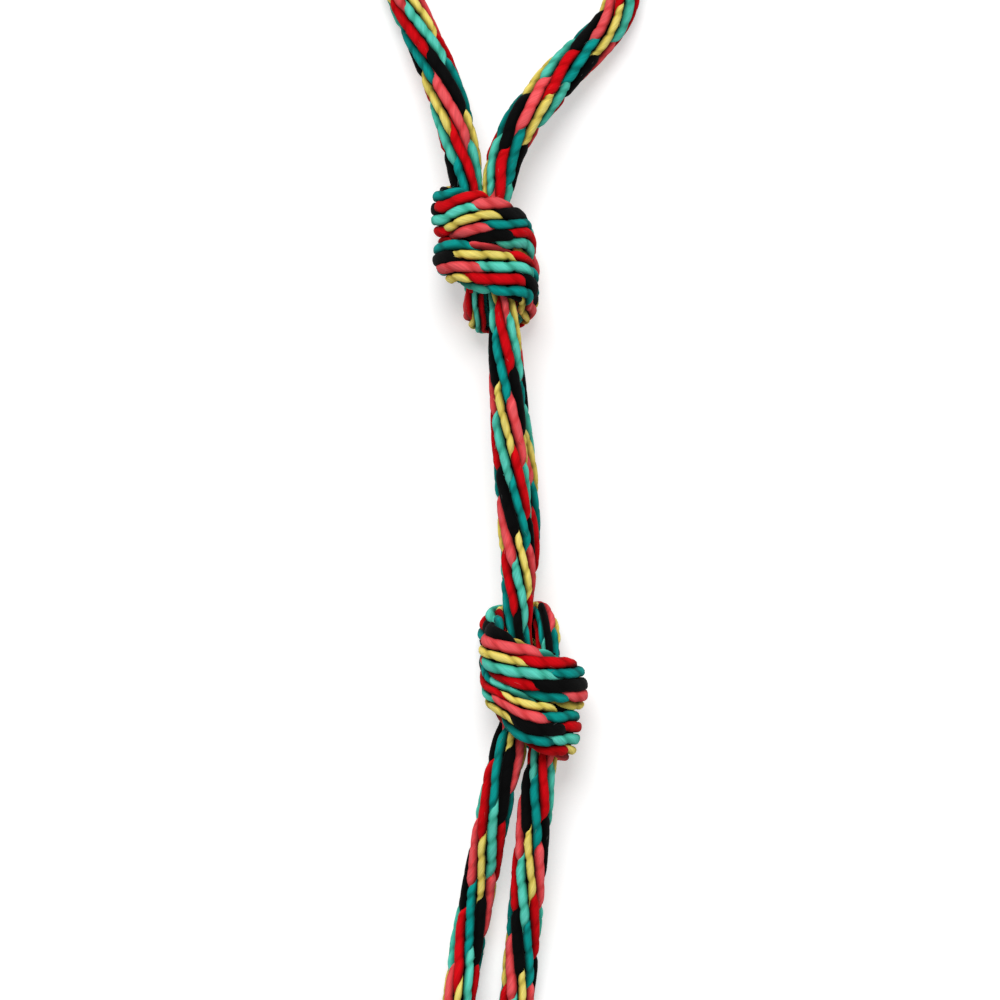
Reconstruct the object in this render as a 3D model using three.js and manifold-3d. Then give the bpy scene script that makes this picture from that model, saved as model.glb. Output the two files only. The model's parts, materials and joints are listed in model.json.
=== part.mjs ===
// Rope dog toy: one soft rope folded in half, with an overhand knot tied twice in the doubled rope.
// It lies flat on its back: +X right, +Y towards the handle, +Z up. Millimetres.
import * as THREE from 'three';
import { mergeVertices } from 'three/addons/utils/BufferGeometryUtils.js';
import Module from 'manifold-3d';

const wasm = await Module();
wasm.setup();

// Driving dimensions.
const rope = {
  diameter: 12, // the free rope, measured across
  core: 8.6, // the rope where it is squeezed inside a knot
  wrapWidth: 16.8, // the rope where it wraps round a knot and flattens
  wrapThickness: 7.8,
  press: 0.62, // clear space between two turns of a knot
};
const fit = {
  joint: 0.3, // clear space between two pieces that meet end to end
  rest: 0.3, // clear space under a rope that lies on the floor
};
const knot = {
  height: 18.6, // from the floor to the middle of each big knot
  endHeight: 12.4, // and of each stopper knot
  flat: 1.2, // how much the floor flattens a knot underneath
};
const handle = { length: 108.5, width: 85 }; // from the fold to the crown, and across both legs
const middle = { length: 82, lean: 2.8 }; // between its two bends, and degrees from straight down
const lowerKnot = { turn: 172 }; // degrees that it is turned from the upper one
const tails = {
  left: { length: 75, lean: 11, swingShare: 0.5 }, // the lean is in degrees from straight down
  right: { length: 118, lean: 5.6, swingShare: 0.5 },
};
const fringe = { length: 42, width: 22, droop: 8 }; // the droop is in degrees, down to the floor

// How finely the ropes are made.
const detail = {
  stepShare: 0.15, // of the rope's diameter, between two points of a knotted rope
  pointsPerRing: 2,
  knotSides: 6,
  ropeSides: 8,
  ropeStepShare: 2, // of the rope's diameter, between two rings of a free rope
  fringeSides: 10,
  neckSteps: 4, // round the fringe's rounded top
  tailPoints: 8, // along each half of a tail
  weld: 1e-4, // corners closer than this are one
};

// How a knot's turns press each other aside, round by round.
const pressing = {
  rounds: 240,
  passes: 4, // over all the turns, in each round
  smoothShare: 0.25, // of the way to the middle of its neighbours
  homeShare: 0.12, // of the way back to the route chosen by hand
  lateShare: 0.9, // of the rounds, after which the pull back home weakens
  lateHomeShare: 0.036,
  giveShare: 0.25, // of an overlap, that each of two turns gives way
  narrowShare: 1.2, // of the rope's diameter, over which it narrows from its end into the knot
  leastTurnShare: 1.7, // of the rope's diameter, along the rope before it can meet itself
  turnShare: 0.5, // of the way that a flattened section turns to face outward, at each point
};

const colours = {
  red: 0xcd050f,
  coral: 0xeb4150,
  yellow: 0xf0d75f,
  aqua: 0x46bea5,
  teal: 0x057873,
};

// The routes of the two ropes through a knot, chosen by hand, in rope diameters from the knot's middle.
// The last number is how flat the rope is there: 0 is round, 1 is flattened as on a wrap.
const upperRowShares = [
  [-0.5, 1.4, 0.0, 0],
  [-0.43, 0.9, -0.26, 0],
  [-0.4, 0.45, -0.42, 0],
  [-0.4, -0.1, -0.42, 0],
  [-0.38, -0.65, -0.48, 0],
  [-0.15, -1.05, -0.75, 0.1],
  [0.3, -1.1, -1.08, 0.2],
  [0.72, -0.8, -1.1, 0.3],
  [1.0, -0.45, -0.85, 0.5],
  [1.04, 0.05, -0.4, 0.8],
  [1.02, 0.5, 0.1, 1],
  [0.86, 0.76, 0.75, 1],
  [0.36, 0.98, 1.13, 1],
  [-0.34, 1.12, 1.15, 1],
  [-0.9, 1.18, 0.75, 1],
  [-1.12, 1.24, 0.05, 1],
  [-0.9, 1.4, -0.6, 0.8],
  [-0.35, 1.5, -0.9, 0.6],
  [0.15, 1.4, -0.9, 0.5],
  [0.5, 1.15, -0.65, 0.3],
  [0.5, 0.65, -0.05, 0],
  [0.42, 0.1, 0.36, 0],
  [0.42, -0.6, 0.42, 0],
];
const lowerRowShares = [
  [0.14, 1.4, 0.18, 0],
  [-0.1, 0.9, 0.36, 0],
  [-0.34, 0.4, 0.42, 0],
  [-0.4, -0.3, 0.42, 0],
  [-0.42, -0.95, 0.38, 0],
  [-0.42, -1.5, 0.05, 0.1],
  [-0.25, -1.76, -0.5, 0.2],
  [0.1, -1.78, -1.0, 0.2],
  [0.6, -1.6, -1.12, 0.3],
  [0.96, -1.25, -0.75, 0.5],
  [1.04, -0.92, -0.2, 0.8],
  [1.0, -0.6, 0.35, 1],
  [0.8, -0.42, 0.85, 1],
  [0.3, -0.28, 1.13, 1],
  [-0.4, -0.12, 1.15, 1],
  [-1.05, 0.0, 0.8, 1],
  [-1.3, 0.1, 0.1, 1],
  [-0.95, 0.3, -0.6, 0.8],
  [-0.4, 0.4, -1.1, 0.6],
  [0.05, 0.35, -1.1, 0.5],
  [0.4, 0.0, -0.8, 0.2],
  [0.42, -0.5, -0.45, 0],
  [0.42, -0.95, -0.42, 0],
];
const endKnotShares = [
  [-0.2, 0.8, 0.05, 0],
  [-0.42, 0.0, 0.0, 0],
  [-0.4, -0.7, -0.25, 0.2],
  [0.1, -1.05, -0.7, 0.8],
  [0.75, -0.7, -0.6, 1],
  [1.0, -0.2, 0.05, 1],
  [0.6, 0.1, 0.7, 1],
  [-0.1, 0.3, 0.85, 1],
  [-0.8, 0.45, 0.5, 1],
  [-0.95, 0.6, -0.15, 1],
  [-0.5, 0.75, -0.75, 1],
  [0.2, 0.65, -0.75, 0.7],
  [0.55, 0.2, -0.35, 0.2],
  [0.42, -0.4, 0.1, 0],
  [0.2, -1.1, 0.2, 0],
];

// Where the ropes leave a knot, in rope diameters from its middle, and how far they lean from +Y or -Y.
const bigKnotExits = {
  upperRight: { atShare: [0.5, 2.89, 0.05], lean: 8 },
  upperLeft: { atShare: [-0.69, 2.89, 0.05], lean: -6 },
  lowerLeft: { atShare: [0.55, 2.95, 0.05], lean: 1 },
  lowerRight: { atShare: [-0.56, 2.95, 0.05], lean: -3.5 },
  upperFront: { atShare: [0.55, -2.71, 0.54], lean: 2.5 },
  upperBack: { atShare: [0.55, -2.71, -0.54], lean: 2.5 },
  lowerFront: { atShare: [0.84, -2.71, 0.54], lean: 10.5 },
  lowerBack: { atShare: [0.84, -2.71, -0.54], lean: 10.5 },
};
const endKnotExits = {
  tail: { atShare: [0, 2.1, 0], lean: 0 },
  fringe: { atShare: [0, -2.2, 0], lean: 0 },
};

// The handle's route from the left leg to the right, chosen by hand: across as a share of its width, up as a
// share of its length, and height as a share of the drop from the knot to the floor.
const handleShares = [
  [-0.132, 0.113, 0.96],
  [-0.196, 0.274, 0.58],
  [-0.285, 0.435, 0.2],
  [-0.36, 0.568, 0.05],
  [-0.413, 0.729, 0],
  [-0.39, 0.86, 0],
  [-0.275, 0.957, 0],
  [-0.085, 1, 0],
  [0.135, 1, 0],
  [0.345, 0.957, 0],
  [0.5, 0.85, 0],
  [0.578, 0.706, 0],
  [0.572, 0.58, 0],
  [0.556, 0.516, 0.01],
  [0.502, 0.435, 0.06],
  [0.403, 0.355, 0.2],
  [0.295, 0.274, 0.41],
  [0.213, 0.194, 0.7],
  [0.134, 0.113, 0.96],
];
// How far each rope of the middle bows to the right, as a share of the rope's diameter, and in height.
const frontBowShares = [
  [0, 0, 0],
  [0.3, -0.02, 0],
  [0.5, 0.0, 0],
  [0.7, 0.0, 0],
  [1, 0, 0],
];
const backBowShares = [
  [0, 0, 0],
  [0.3, 0.12, 0.03],
  [0.5, 0.24, 0.05],
  [0.75, 0.22, 0.04],
  [1, 0, 0],
];
// A tail's route: along as a share of its length, across as a share of the rope's diameter, and height as a
// share of the drop from the big knot to the floor.
const tailShares = [
  [0.2, 0.0, 0.88],
  [0.4, 0.02, 0.5],
  [0.5, 0.02, 0.28],
  [0.6, 0.02, 0.2],
  [0.75, 0, 0.2],
  [0.88, 0, 0.36],
];
// A fringe's outline, from the rope's end to its tip: along as a share of its length, and half across as a
// share of its width.
const fringeShares = [
  [0.12, 0.28],
  [0.3, 0.36],
  [0.6, 0.47],
  [0.88, 0.5],
  [0.97, 0.42],
];

const radius = rope.diameter / 2;
const stub = radius + fit.joint; // from a bend's centre to the face of the piece that carries it
const knotStep = detail.stepShare * rope.diameter;
const nearestTurn = Math.ceil((pressing.leastTurnShare * rope.diameter) / knotStep); // in points

function inDiameters(share) {
  return new THREE.Vector3(...share).multiplyScalar(rope.diameter);
}

function leaning(degrees, sign) {
  const angle = THREE.MathUtils.degToRad(degrees);
  return new THREE.Vector3(Math.sin(angle), sign * Math.cos(angle), 0);
}

// A rope's route through a knot as evenly spaced points, each with how flat the rope is there.
// Both ends run straight for one diameter, up to the faces where the next pieces begin.
function knotRoute(shares, start, finish) {
  const first = inDiameters(start.atShare).addScaledVector(leaning(start.lean, 1), -stub);
  const last = inDiameters(finish.atShare).addScaledVector(leaning(finish.lean, -1), -stub);
  const startIn = first.clone().addScaledVector(leaning(start.lean, 1), -rope.diameter);
  const lastIn = last.clone().addScaledVector(leaning(finish.lean, -1), -rope.diameter);
  const hand = shares.map(([x, y, z]) => inDiameters([x, y, z]));
  const curve = new THREE.CatmullRomCurve3([first, startIn, ...hand, lastIn, last]);
  const flats = [0, 0, ...shares.map((share) => share[3]), 0, 0];
  const count = Math.round(curve.getLength() / knotStep);
  const points = [];
  for (let i = 0; i <= count; i += 1) {
    const along = curve.getUtoTmapping(i / count) * (flats.length - 1);
    const before = Math.min(Math.floor(along), flats.length - 2);
    const flat = THREE.MathUtils.lerp(flats[before], flats[before + 1], along - before);
    points.push({ at: curve.getPoint(along / (flats.length - 1)), flat });
  }
  const straight = Math.ceil(rope.diameter / knotStep);
  for (let k = 0; k <= straight; k += 1) {
    points[k].at.lerpVectors(first, startIn, k / straight);
    points[count - k].at.lerpVectors(last, lastIn, k / straight);
  }
  points.forEach((point, i) => {
    point.held = i <= straight || i >= count - straight;
    point.home = point.at.clone();
  });
  return points;
}

// The rope's section at each point: its thin direction faces away from the knot's middle.
function orient(points) {
  let thin = new THREE.Vector3(0, 0, 1);
  points.forEach((point, i) => {
    const before = points[Math.max(i - 1, 0)].at;
    const after = points[Math.min(i + 1, points.length - 1)].at;
    point.along = after.clone().sub(before).normalize();
    const carried = thin.clone().addScaledVector(point.along, -thin.dot(point.along)).normalize();
    const outward = point.at.clone();
    outward.y = Math.min(outward.y + rope.diameter, 0);
    outward.addScaledVector(point.along, -outward.dot(point.along)).normalize();
    if (outward.dot(carried) < 0) outward.negate();
    thin = carried.lerp(outward, pressing.turnShare * point.flat).normalize();
    point.thin = thin.clone();
    point.wide = new THREE.Vector3().crossVectors(thin, point.along).normalize();
    point.halfThin = THREE.MathUtils.lerp(point.round, rope.wrapThickness, point.flat) / 2;
    point.halfWide = THREE.MathUtils.lerp(point.round, rope.wrapWidth, point.flat) / 2;
  });
}

// How far a section reaches from its centre in a direction.
function reach(point, direction) {
  return Math.hypot(point.halfThin * point.thin.dot(direction), point.halfWide * point.wide.dot(direction));
}

// Ropes tied together press each other aside until no two turns share any space.
function settle(ropes, restHeight) {
  ropes.forEach((points) => {
    points.forEach((point, i) => {
      const toEnd = Math.min(i, points.length - 1 - i) * knotStep;
      const inside = THREE.MathUtils.smoothstep(toEnd, 0, pressing.narrowShare * rope.diameter);
      point.round = THREE.MathUtils.lerp(rope.diameter, rope.core, inside);
    });
    orient(points);
  });
  const apart = new THREE.Vector3();
  const up = new THREE.Vector3(0, 0, 1);
  for (let round = 0; round < pressing.rounds; round += 1) {
    const late = round >= pressing.rounds * pressing.lateShare;
    const homeShare = late ? pressing.lateHomeShare : pressing.homeShare;
    ropes.forEach((points) => {
      const smooth = points.map((point) => point.at.clone());
      for (let i = 1; i < points.length - 1; i += 1) {
        if (points[i].held) continue;
        const middleOfBoth = points[i - 1].at.clone().add(points[i + 1].at).multiplyScalar(0.5);
        smooth[i].lerp(middleOfBoth, pressing.smoothShare);
        smooth[i].lerp(points[i].home, homeShare);
      }
      points.forEach((point, i) => point.at.copy(smooth[i]));
    });
    for (let pass = 0; pass < pressing.passes; pass += 1) {
      for (let a = 0; a < ropes.length; a += 1) {
        for (let b = a; b < ropes.length; b += 1) {
          for (let i = 0; i < ropes[a].length; i += 1) {
            for (let j = a === b ? i + nearestTurn : 0; j < ropes[b].length; j += 1) {
              const one = ropes[a][i];
              const other = ropes[b][j];
              apart.subVectors(other.at, one.at);
              const distance = apart.length();
              if (distance > rope.wrapWidth + rope.press) continue;
              apart.divideScalar(distance || 1);
              const short = reach(one, apart) + reach(other, apart) + rope.press - distance;
              if (short <= 0 || (one.held && other.held)) continue;
              const share = pressing.giveShare * (one.held || other.held ? 2 : 1);
              if (!one.held) one.at.addScaledVector(apart, -short * share);
              if (!other.held) other.at.addScaledVector(apart, short * share);
            }
          }
        }
      }
    }
    ropes.forEach((points) => {
      points.forEach((point) => {
        const sunk = -restHeight - knot.flat - (point.at.z - reach(point, up));
        if (sunk > 0 && !point.held) point.at.z += sunk;
      });
      orient(points);
    });
  }
}

// The ring of corners round one point of a knotted rope.
function ring(point) {
  const corners = [];
  for (let k = 0; k < detail.knotSides; k += 1) {
    const angle = (k / detail.knotSides) * 2 * Math.PI;
    const corner = point.at.clone();
    corner.addScaledVector(point.wide, Math.cos(angle) * point.halfWide);
    corner.addScaledVector(point.thin, Math.sin(angle) * point.halfThin);
    corners.push(corner);
  }
  return corners;
}

// One unbroken tube through all the points.
function knotTube(route) {
  const sides = detail.knotSides;
  const last = route.length - 1;
  const rings = Math.round(last / detail.pointsPerRing);
  const points = [];
  for (let i = 0; i <= rings; i += 1) points.push(route[Math.round((i / rings) * last)]);
  const positions = [];
  const index = [];
  points.forEach((point) => ring(point).forEach((corner) => positions.push(...corner.toArray())));
  for (let i = 0; i < points.length - 1; i += 1) {
    for (let k = 0; k < sides; k += 1) {
      const a = i * sides + k;
      const b = i * sides + ((k + 1) % sides);
      index.push(a, b, a + sides, b, b + sides, a + sides);
    }
  }
  const lastRing = (points.length - 1) * sides;
  for (let k = 1; k < sides - 1; k += 1) {
    index.push(0, k + 1, k, lastRing, lastRing + k, lastRing + k + 1);
  }
  const geometry = new THREE.BufferGeometry();
  geometry.setAttribute('position', new THREE.Float32BufferAttribute(positions, 3));
  geometry.setIndex(index);
  return geometry;
}

// The least gap between two turns of a knot, measured on points of the tubes' surfaces.
function leastGap(ropes) {
  let least = Infinity;
  const rings = ropes.map((points) => points.map((point) => {
    const corners = ring(point);
    return corners.flatMap((corner, k) => {
      const next = corners[(k + 1) % corners.length];
      return [corner, corner.clone().lerp(next, 1 / 3), corner.clone().lerp(next, 2 / 3)];
    });
  }));
  for (let a = 0; a < ropes.length; a += 1) {
    for (let b = a; b < ropes.length; b += 1) {
      for (let i = 0; i < rings[a].length; i += 1) {
        for (let j = a === b ? i + nearestTurn : 0; j < rings[b].length; j += 1) {
          if (ropes[a][i].at.distanceTo(ropes[b][j].at) > 2 * rope.wrapWidth) continue;
          for (const p of rings[a][i]) {
            for (const q of rings[b][j]) least = Math.min(least, p.distanceTo(q));
          }
        }
      }
    }
  }
  return least;
}

// A solid of a closed mesh, with its shared corners merged.
function solidOf(geometry) {
  const bare = new THREE.BufferGeometry();
  bare.setAttribute('position', geometry.getAttribute('position').clone());
  if (geometry.index) bare.setIndex(geometry.index.clone());
  const merged = mergeVertices(bare, detail.weld);
  return new wasm.Manifold(new wasm.Mesh({
    numProp: 3,
    vertProperties: new Float32Array(merged.getAttribute('position').array),
    triVerts: new Uint32Array(merged.index.array),
  }));
}

function geometryOf(solid) {
  const mesh = solid.getMesh();
  const geometry = new THREE.BufferGeometry();
  geometry.setAttribute('position', new THREE.BufferAttribute(new Float32Array(mesh.vertProperties), 3));
  geometry.setIndex(new THREE.BufferAttribute(new Uint32Array(mesh.triVerts), 1));
  return geometry;
}

// A free rope along a smooth route. Each rounded end is a ball about the bend that it turns on.
function ropeTube(route, roundedStart, roundedEnd) {
  const curve = new THREE.CatmullRomCurve3(route);
  const section = new THREE.Shape(Array.from({ length: detail.ropeSides }, (_, k) => {
    const angle = ((k + 0.5) / detail.ropeSides) * 2 * Math.PI;
    return new THREE.Vector2(Math.cos(angle), Math.sin(angle)).multiplyScalar(radius);
  }));
  const steps = Math.ceil(curve.getLength() / (detail.ropeStepShare * rope.diameter));
  const tube = new THREE.ExtrudeGeometry(section, { extrudePath: curve, steps, bevelEnabled: false });
  let solid = solidOf(tube);
  const ball = new THREE.SphereGeometry(radius, detail.ropeSides, detail.ropeSides / 2 + 2);
  const ends = [[roundedStart, route[0], curve.getTangentAt(0)]];
  ends.push([roundedEnd, route[route.length - 1], curve.getTangentAt(1)]);
  ends.forEach(([rounded, at, along]) => {
    if (!rounded) return;
    const turn = new THREE.Quaternion().setFromUnitVectors(new THREE.Vector3(0, 1, 0), along);
    const placed = ball.clone().applyQuaternion(turn).translate(...at.toArray());
    solid = solid.add(solidOf(placed));
  });
  return geometryOf(solid);
}

const group = new THREE.Group();

function addPiece(name, geometry, colour) {
  const material = new THREE.MeshStandardMaterial({ color: colour, roughness: 0.92, metalness: 0 });
  const mesh = new THREE.Mesh(geometry, material);
  mesh.name = name;
  group.add(mesh);
}

// Puts a knot's tubes in place and cuts them flat where they rest on the floor.
function addKnot(names, ropes, place, tints) {
  const reachOut = handle.length;
  const below = new THREE.BoxGeometry(reachOut, reachOut, reachOut);
  below.translate(0, 0, -reachOut / 2);
  const centre = new THREE.Vector3().setFromMatrixPosition(place).setZ(0);
  const floor = solidOf(below.translate(...centre.toArray()));
  ropes.forEach((points, i) => {
    const tube = solidOf(knotTube(points).applyMatrix4(place));
    addPiece(names[i], geometryOf(tube.subtract(floor)), tints[i]);
  });
  console.log(names[0], 'least gap', leastGap(ropes).toFixed(2), 'mm');
}

function placeAt(position, degrees) {
  const turn = new THREE.Matrix4().makeRotationZ(THREE.MathUtils.degToRad(degrees));
  return turn.setPosition(position);
}

function exitPoint(exit, place) {
  return inDiameters(exit.atShare).applyMatrix4(place);
}

const bends = {};

// The upper knot stands at the origin of the route.
const upperPlace = placeAt(new THREE.Vector3(0, 0, knot.height), 0);
const upperRopes = [
  knotRoute(upperRowShares, bigKnotExits.upperLeft, bigKnotExits.upperFront),
  knotRoute(lowerRowShares, bigKnotExits.upperRight, bigKnotExits.upperBack),
];
settle(upperRopes, knot.height);
const upperNames = ['upper_knot_left_rope', 'upper_knot_right_rope'];
addKnot(upperNames, upperRopes, upperPlace, [colours.red, colours.aqua]);

// The handle.
const leftLeg = exitPoint(bigKnotExits.upperLeft, upperPlace);
const rightLeg = exitPoint(bigKnotExits.upperRight, upperPlace);
const onFloor = radius + fit.rest;
const drop = leftLeg.z - onFloor;
const leadLength = radius;
const handleRoute = [
  leftLeg,
  ...handleShares.map(([across, up, height]) => new THREE.Vector3(
    across * handle.width,
    leftLeg.y + up * handle.length,
    onFloor + height * drop,
  )),
  rightLeg,
];
addPiece('handle_loop', ropeTube(handleRoute, true, true), colours.coral);
bends.handle_fold = leftLeg.clone().lerp(rightLeg, 0.5);

// The middle: two ropes, one behind the other.
const middleDown = leaning(middle.lean, -1);
const middleAcross = new THREE.Vector3(-middleDown.y, middleDown.x, 0);
function middleRoute(exit, bowShares) {
  const start = exitPoint(exit, upperPlace);
  return bowShares.map(([along, across, rise]) => start.clone()
    .addScaledVector(middleDown, along * middle.length)
    .addScaledVector(middleAcross, across * rope.diameter)
    .add(new THREE.Vector3(0, 0, rise * rope.diameter)));
}
const frontRoute = middleRoute(bigKnotExits.upperFront, frontBowShares);
addPiece('middle_front_rope', ropeTube(frontRoute, true, true), colours.yellow);
const backRoute = middleRoute(bigKnotExits.upperBack, backBowShares);
addPiece('middle_back_rope', ropeTube(backRoute, true, true), colours.teal);
bends.middle_bend_top = frontRoute[0];
bends.middle_bend_bottom = frontRoute[frontRoute.length - 1];

// The lower knot hangs on the middle.
const turned = placeAt(new THREE.Vector3(), lowerKnot.turn);
const lowerMiddle = bends.middle_bend_bottom.clone().sub(exitPoint(bigKnotExits.lowerFront, turned));
const lowerPlace = placeAt(lowerMiddle.setZ(knot.height), lowerKnot.turn);
const lowerRopes = [
  knotRoute(upperRowShares, bigKnotExits.lowerRight, bigKnotExits.lowerFront),
  knotRoute(lowerRowShares, bigKnotExits.lowerLeft, bigKnotExits.lowerBack),
];
settle(lowerRopes, knot.height);
const lowerNames = ['lower_knot_right_rope', 'lower_knot_left_rope'];
addKnot(lowerNames, lowerRopes, lowerPlace, [colours.coral, colours.teal]);

// The tails, each with its stopper knot and its frayed end.
function addTail(side, tail, exit, tints) {
  const start = exitPoint(exit, lowerPlace);
  const down = leaning(-tail.lean, -1);
  const across = new THREE.Vector3(-down.y, down.x, 0);
  const towards = lowerKnot.turn - 180 - exit.lean;
  const faceOfKnot = start.clone().addScaledVector(down, tail.length).setZ(knot.endHeight);
  const route = [
    start,
    start.clone().addScaledVector(leaning(towards, -1), leadLength),
    ...tailShares.map(([along, aside, height]) => start.clone()
      .addScaledVector(down, along * tail.length)
      .addScaledVector(across, aside * rope.diameter)
      .setZ(onFloor + height * drop)),
    faceOfKnot.clone().addScaledVector(down, -fit.joint - leadLength),
    faceOfKnot.clone().addScaledVector(down, -fit.joint),
  ];
  const whole = new THREE.CatmullRomCurve3(route);
  const swingAt = whole.getPointAt(tail.swingShare);
  const lastPoint = detail.tailPoints - 1;
  const sample = (from, to) => Array.from({ length: detail.tailPoints }, (_, i) => (
    whole.getPointAt(THREE.MathUtils.lerp(from, to, i / lastPoint))
  ));
  const faceShare = tail.swingShare - stub / whole.getLength();
  addPiece(`${side}_tail_top`, ropeTube(sample(0, faceShare), true, false), tints[0]);
  addPiece(`${side}_tail_bottom`, ropeTube(sample(tail.swingShare, 1), true, false), tints[1]);
  bends[`${side}_tail_lift`] = start;
  bends[`${side}_tail_swing`] = swingAt;

  const turn = -tail.lean;
  const entry = inDiameters(endKnotExits.tail.atShare);
  entry.y -= stub;
  const place = placeAt(new THREE.Vector3(), turn);
  const middleOfKnot = faceOfKnot.clone().sub(entry.applyMatrix4(place)).setZ(knot.endHeight);
  place.setPosition(middleOfKnot);
  const ropes = [knotRoute(endKnotShares, endKnotExits.tail, endKnotExits.fringe)];
  settle(ropes, knot.endHeight);
  addKnot([`${side}_end_knot`], ropes, place, [tints[2]]);
  const neck = exitPoint(endKnotExits.fringe, place);
  bends[`${side}_fringe_fold`] = neck;

  const outline = [new THREE.Vector2(0, -radius)];
  for (let k = 1; k <= detail.neckSteps; k += 1) {
    const angle = (k / detail.neckSteps) * (Math.PI / 2);
    outline.push(new THREE.Vector2(Math.sin(angle), -Math.cos(angle)).multiplyScalar(radius));
  }
  fringeShares.forEach(([along, half]) => {
    outline.push(new THREE.Vector2(half * fringe.width, along * fringe.length));
  });
  outline.push(new THREE.Vector2(0, fringe.length));
  const bundle = new THREE.LatheGeometry(outline, detail.fringeSides);
  bundle.rotateX(Math.PI);
  bundle.scale(1, 1, rope.diameter / fringe.width);
  bundle.rotateX(THREE.MathUtils.degToRad(fringe.droop));
  bundle.rotateZ(THREE.MathUtils.degToRad(turn));
  bundle.translate(...neck.toArray());
  addPiece(`${side}_fringe`, geometryOf(solidOf(bundle)), tints[3]);
}
const leftTints = [colours.coral, colours.yellow, colours.red, colours.aqua];
const rightTints = [colours.aqua, colours.red, colours.teal, colours.coral];
addTail('left', tails.left, bigKnotExits.lowerLeft, leftTints);
addTail('right', tails.right, bigKnotExits.lowerRight, rightTints);

// The part's origin is under the middle of its box.
const box = new THREE.Box3().setFromObject(group);
const shift = box.getCenter(new THREE.Vector3()).negate().setZ(-box.min.z);
group.position.copy(shift);
console.log('shift', shift.toArray().map((v) => v.toFixed(3)).join(' '));
Object.entries(bends).forEach(([name, at]) => {
  console.log(name, at.clone().add(shift).toArray().map((v) => v.toFixed(3)).join(' '));
});

export default group;
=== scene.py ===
"""A rope dog toy, dressed in its braided cotton.

One soft rope is folded in half and tied twice in an overhand knot, with both halves together. Each free end
has a stopper knot and a frayed tip. The rope is a braid of eight columns round a core: every column is a row
of floats, each float is one dyed two-ply yarn that comes up, runs along the rope and goes under again.
"""
import json
import logging
import math
from dataclasses import dataclass, field, fields
from enum import Enum
from functools import cache

import bpy
import numpy as np
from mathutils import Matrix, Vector


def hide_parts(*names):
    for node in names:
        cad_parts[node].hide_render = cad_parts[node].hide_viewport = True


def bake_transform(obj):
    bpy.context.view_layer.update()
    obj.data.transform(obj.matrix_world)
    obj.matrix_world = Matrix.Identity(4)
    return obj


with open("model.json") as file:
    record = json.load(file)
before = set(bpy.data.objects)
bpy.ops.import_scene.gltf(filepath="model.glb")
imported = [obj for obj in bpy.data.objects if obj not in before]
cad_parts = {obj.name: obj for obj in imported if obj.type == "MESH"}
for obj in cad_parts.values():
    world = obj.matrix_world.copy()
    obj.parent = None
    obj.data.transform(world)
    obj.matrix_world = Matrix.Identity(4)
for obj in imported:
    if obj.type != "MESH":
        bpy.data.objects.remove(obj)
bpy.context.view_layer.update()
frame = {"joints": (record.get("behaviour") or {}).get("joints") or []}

log = logging.getLogger("rope_toy")

MM = 0.001
UP = np.array([0.0, 0.0, 1.0])
WHITE = (1.0, 1.0, 1.0, 1.0)


class Dye(Enum):
    """The yarns' six colours, as sRGB bytes, each with how clearly its two plies show and its width."""

    BLACK = (5, 5, 5, 0.4, 1.12)
    YELLOW = (240, 216, 98, 1.35, 0.78)
    RED = (198, 6, 14, 0.65, 1.0)
    TEAL = (6, 128, 121, 1.05, 0.9)
    CORAL = (234, 72, 76, 0.75, 1.04)
    AQUA = (74, 196, 170, 1.2, 0.96)

    @property
    def crease(self) -> float:
        """How deep the creases between its plies are, against the braid's own."""
        return self.value[3]

    @property
    def width(self) -> float:
        """How wide its yarn is, against the braid's own."""
        return self.value[4]

    def linear(self) -> np.ndarray:
        """Returns the colour in linear light."""
        share = np.array(self.value[:3]) / 255.0
        return np.where(share <= 0.04045, share / 12.92, ((share + 0.055) / 1.055) ** 2.4)


class Side(Enum):
    """The two tails."""

    LEFT = "left"
    RIGHT = "right"


@dataclass(frozen=True)
class RopeSizes:
    """The rope's sizes, free and knotted."""

    diameter: float = 12.0 * MM
    core: float = 8.6 * MM
    wrap_width: float = 16.8 * MM
    wrap_thickness: float = 7.8 * MM
    press: float = 0.62 * MM
    joint_gap: float = 0.3 * MM
    rest_gap: float = 0.3 * MM

    @property
    def radius(self) -> float:
        """Half the free rope's diameter."""
        return self.diameter / 2

    @property
    def lying(self) -> float:
        """How high the free rope's middle is where it lies on the floor."""
        return self.radius + self.rest_gap

    @property
    def stub(self) -> float:
        """From a bend's centre to the face of the piece that carries it."""
        return self.radius + self.joint_gap


@dataclass(frozen=True)
class KnotSizes:
    """How high the knots stand and how their turns press each other aside."""

    height: float = 18.6 * MM
    end_height: float = 12.4 * MM
    flat: float = 1.2 * MM
    step_share: float = 0.15
    rounds: int = 100
    passes: int = 4
    smooth_share: float = 0.25
    home_share: float = 0.12
    late_share: float = 0.9
    late_home_share: float = 0.036
    give_share: float = 0.25
    narrow_share: float = 1.2
    least_turn_share: float = 1.7
    turn_share: float = 0.5


ROPE = RopeSizes()
KNOT = KnotSizes()

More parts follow.
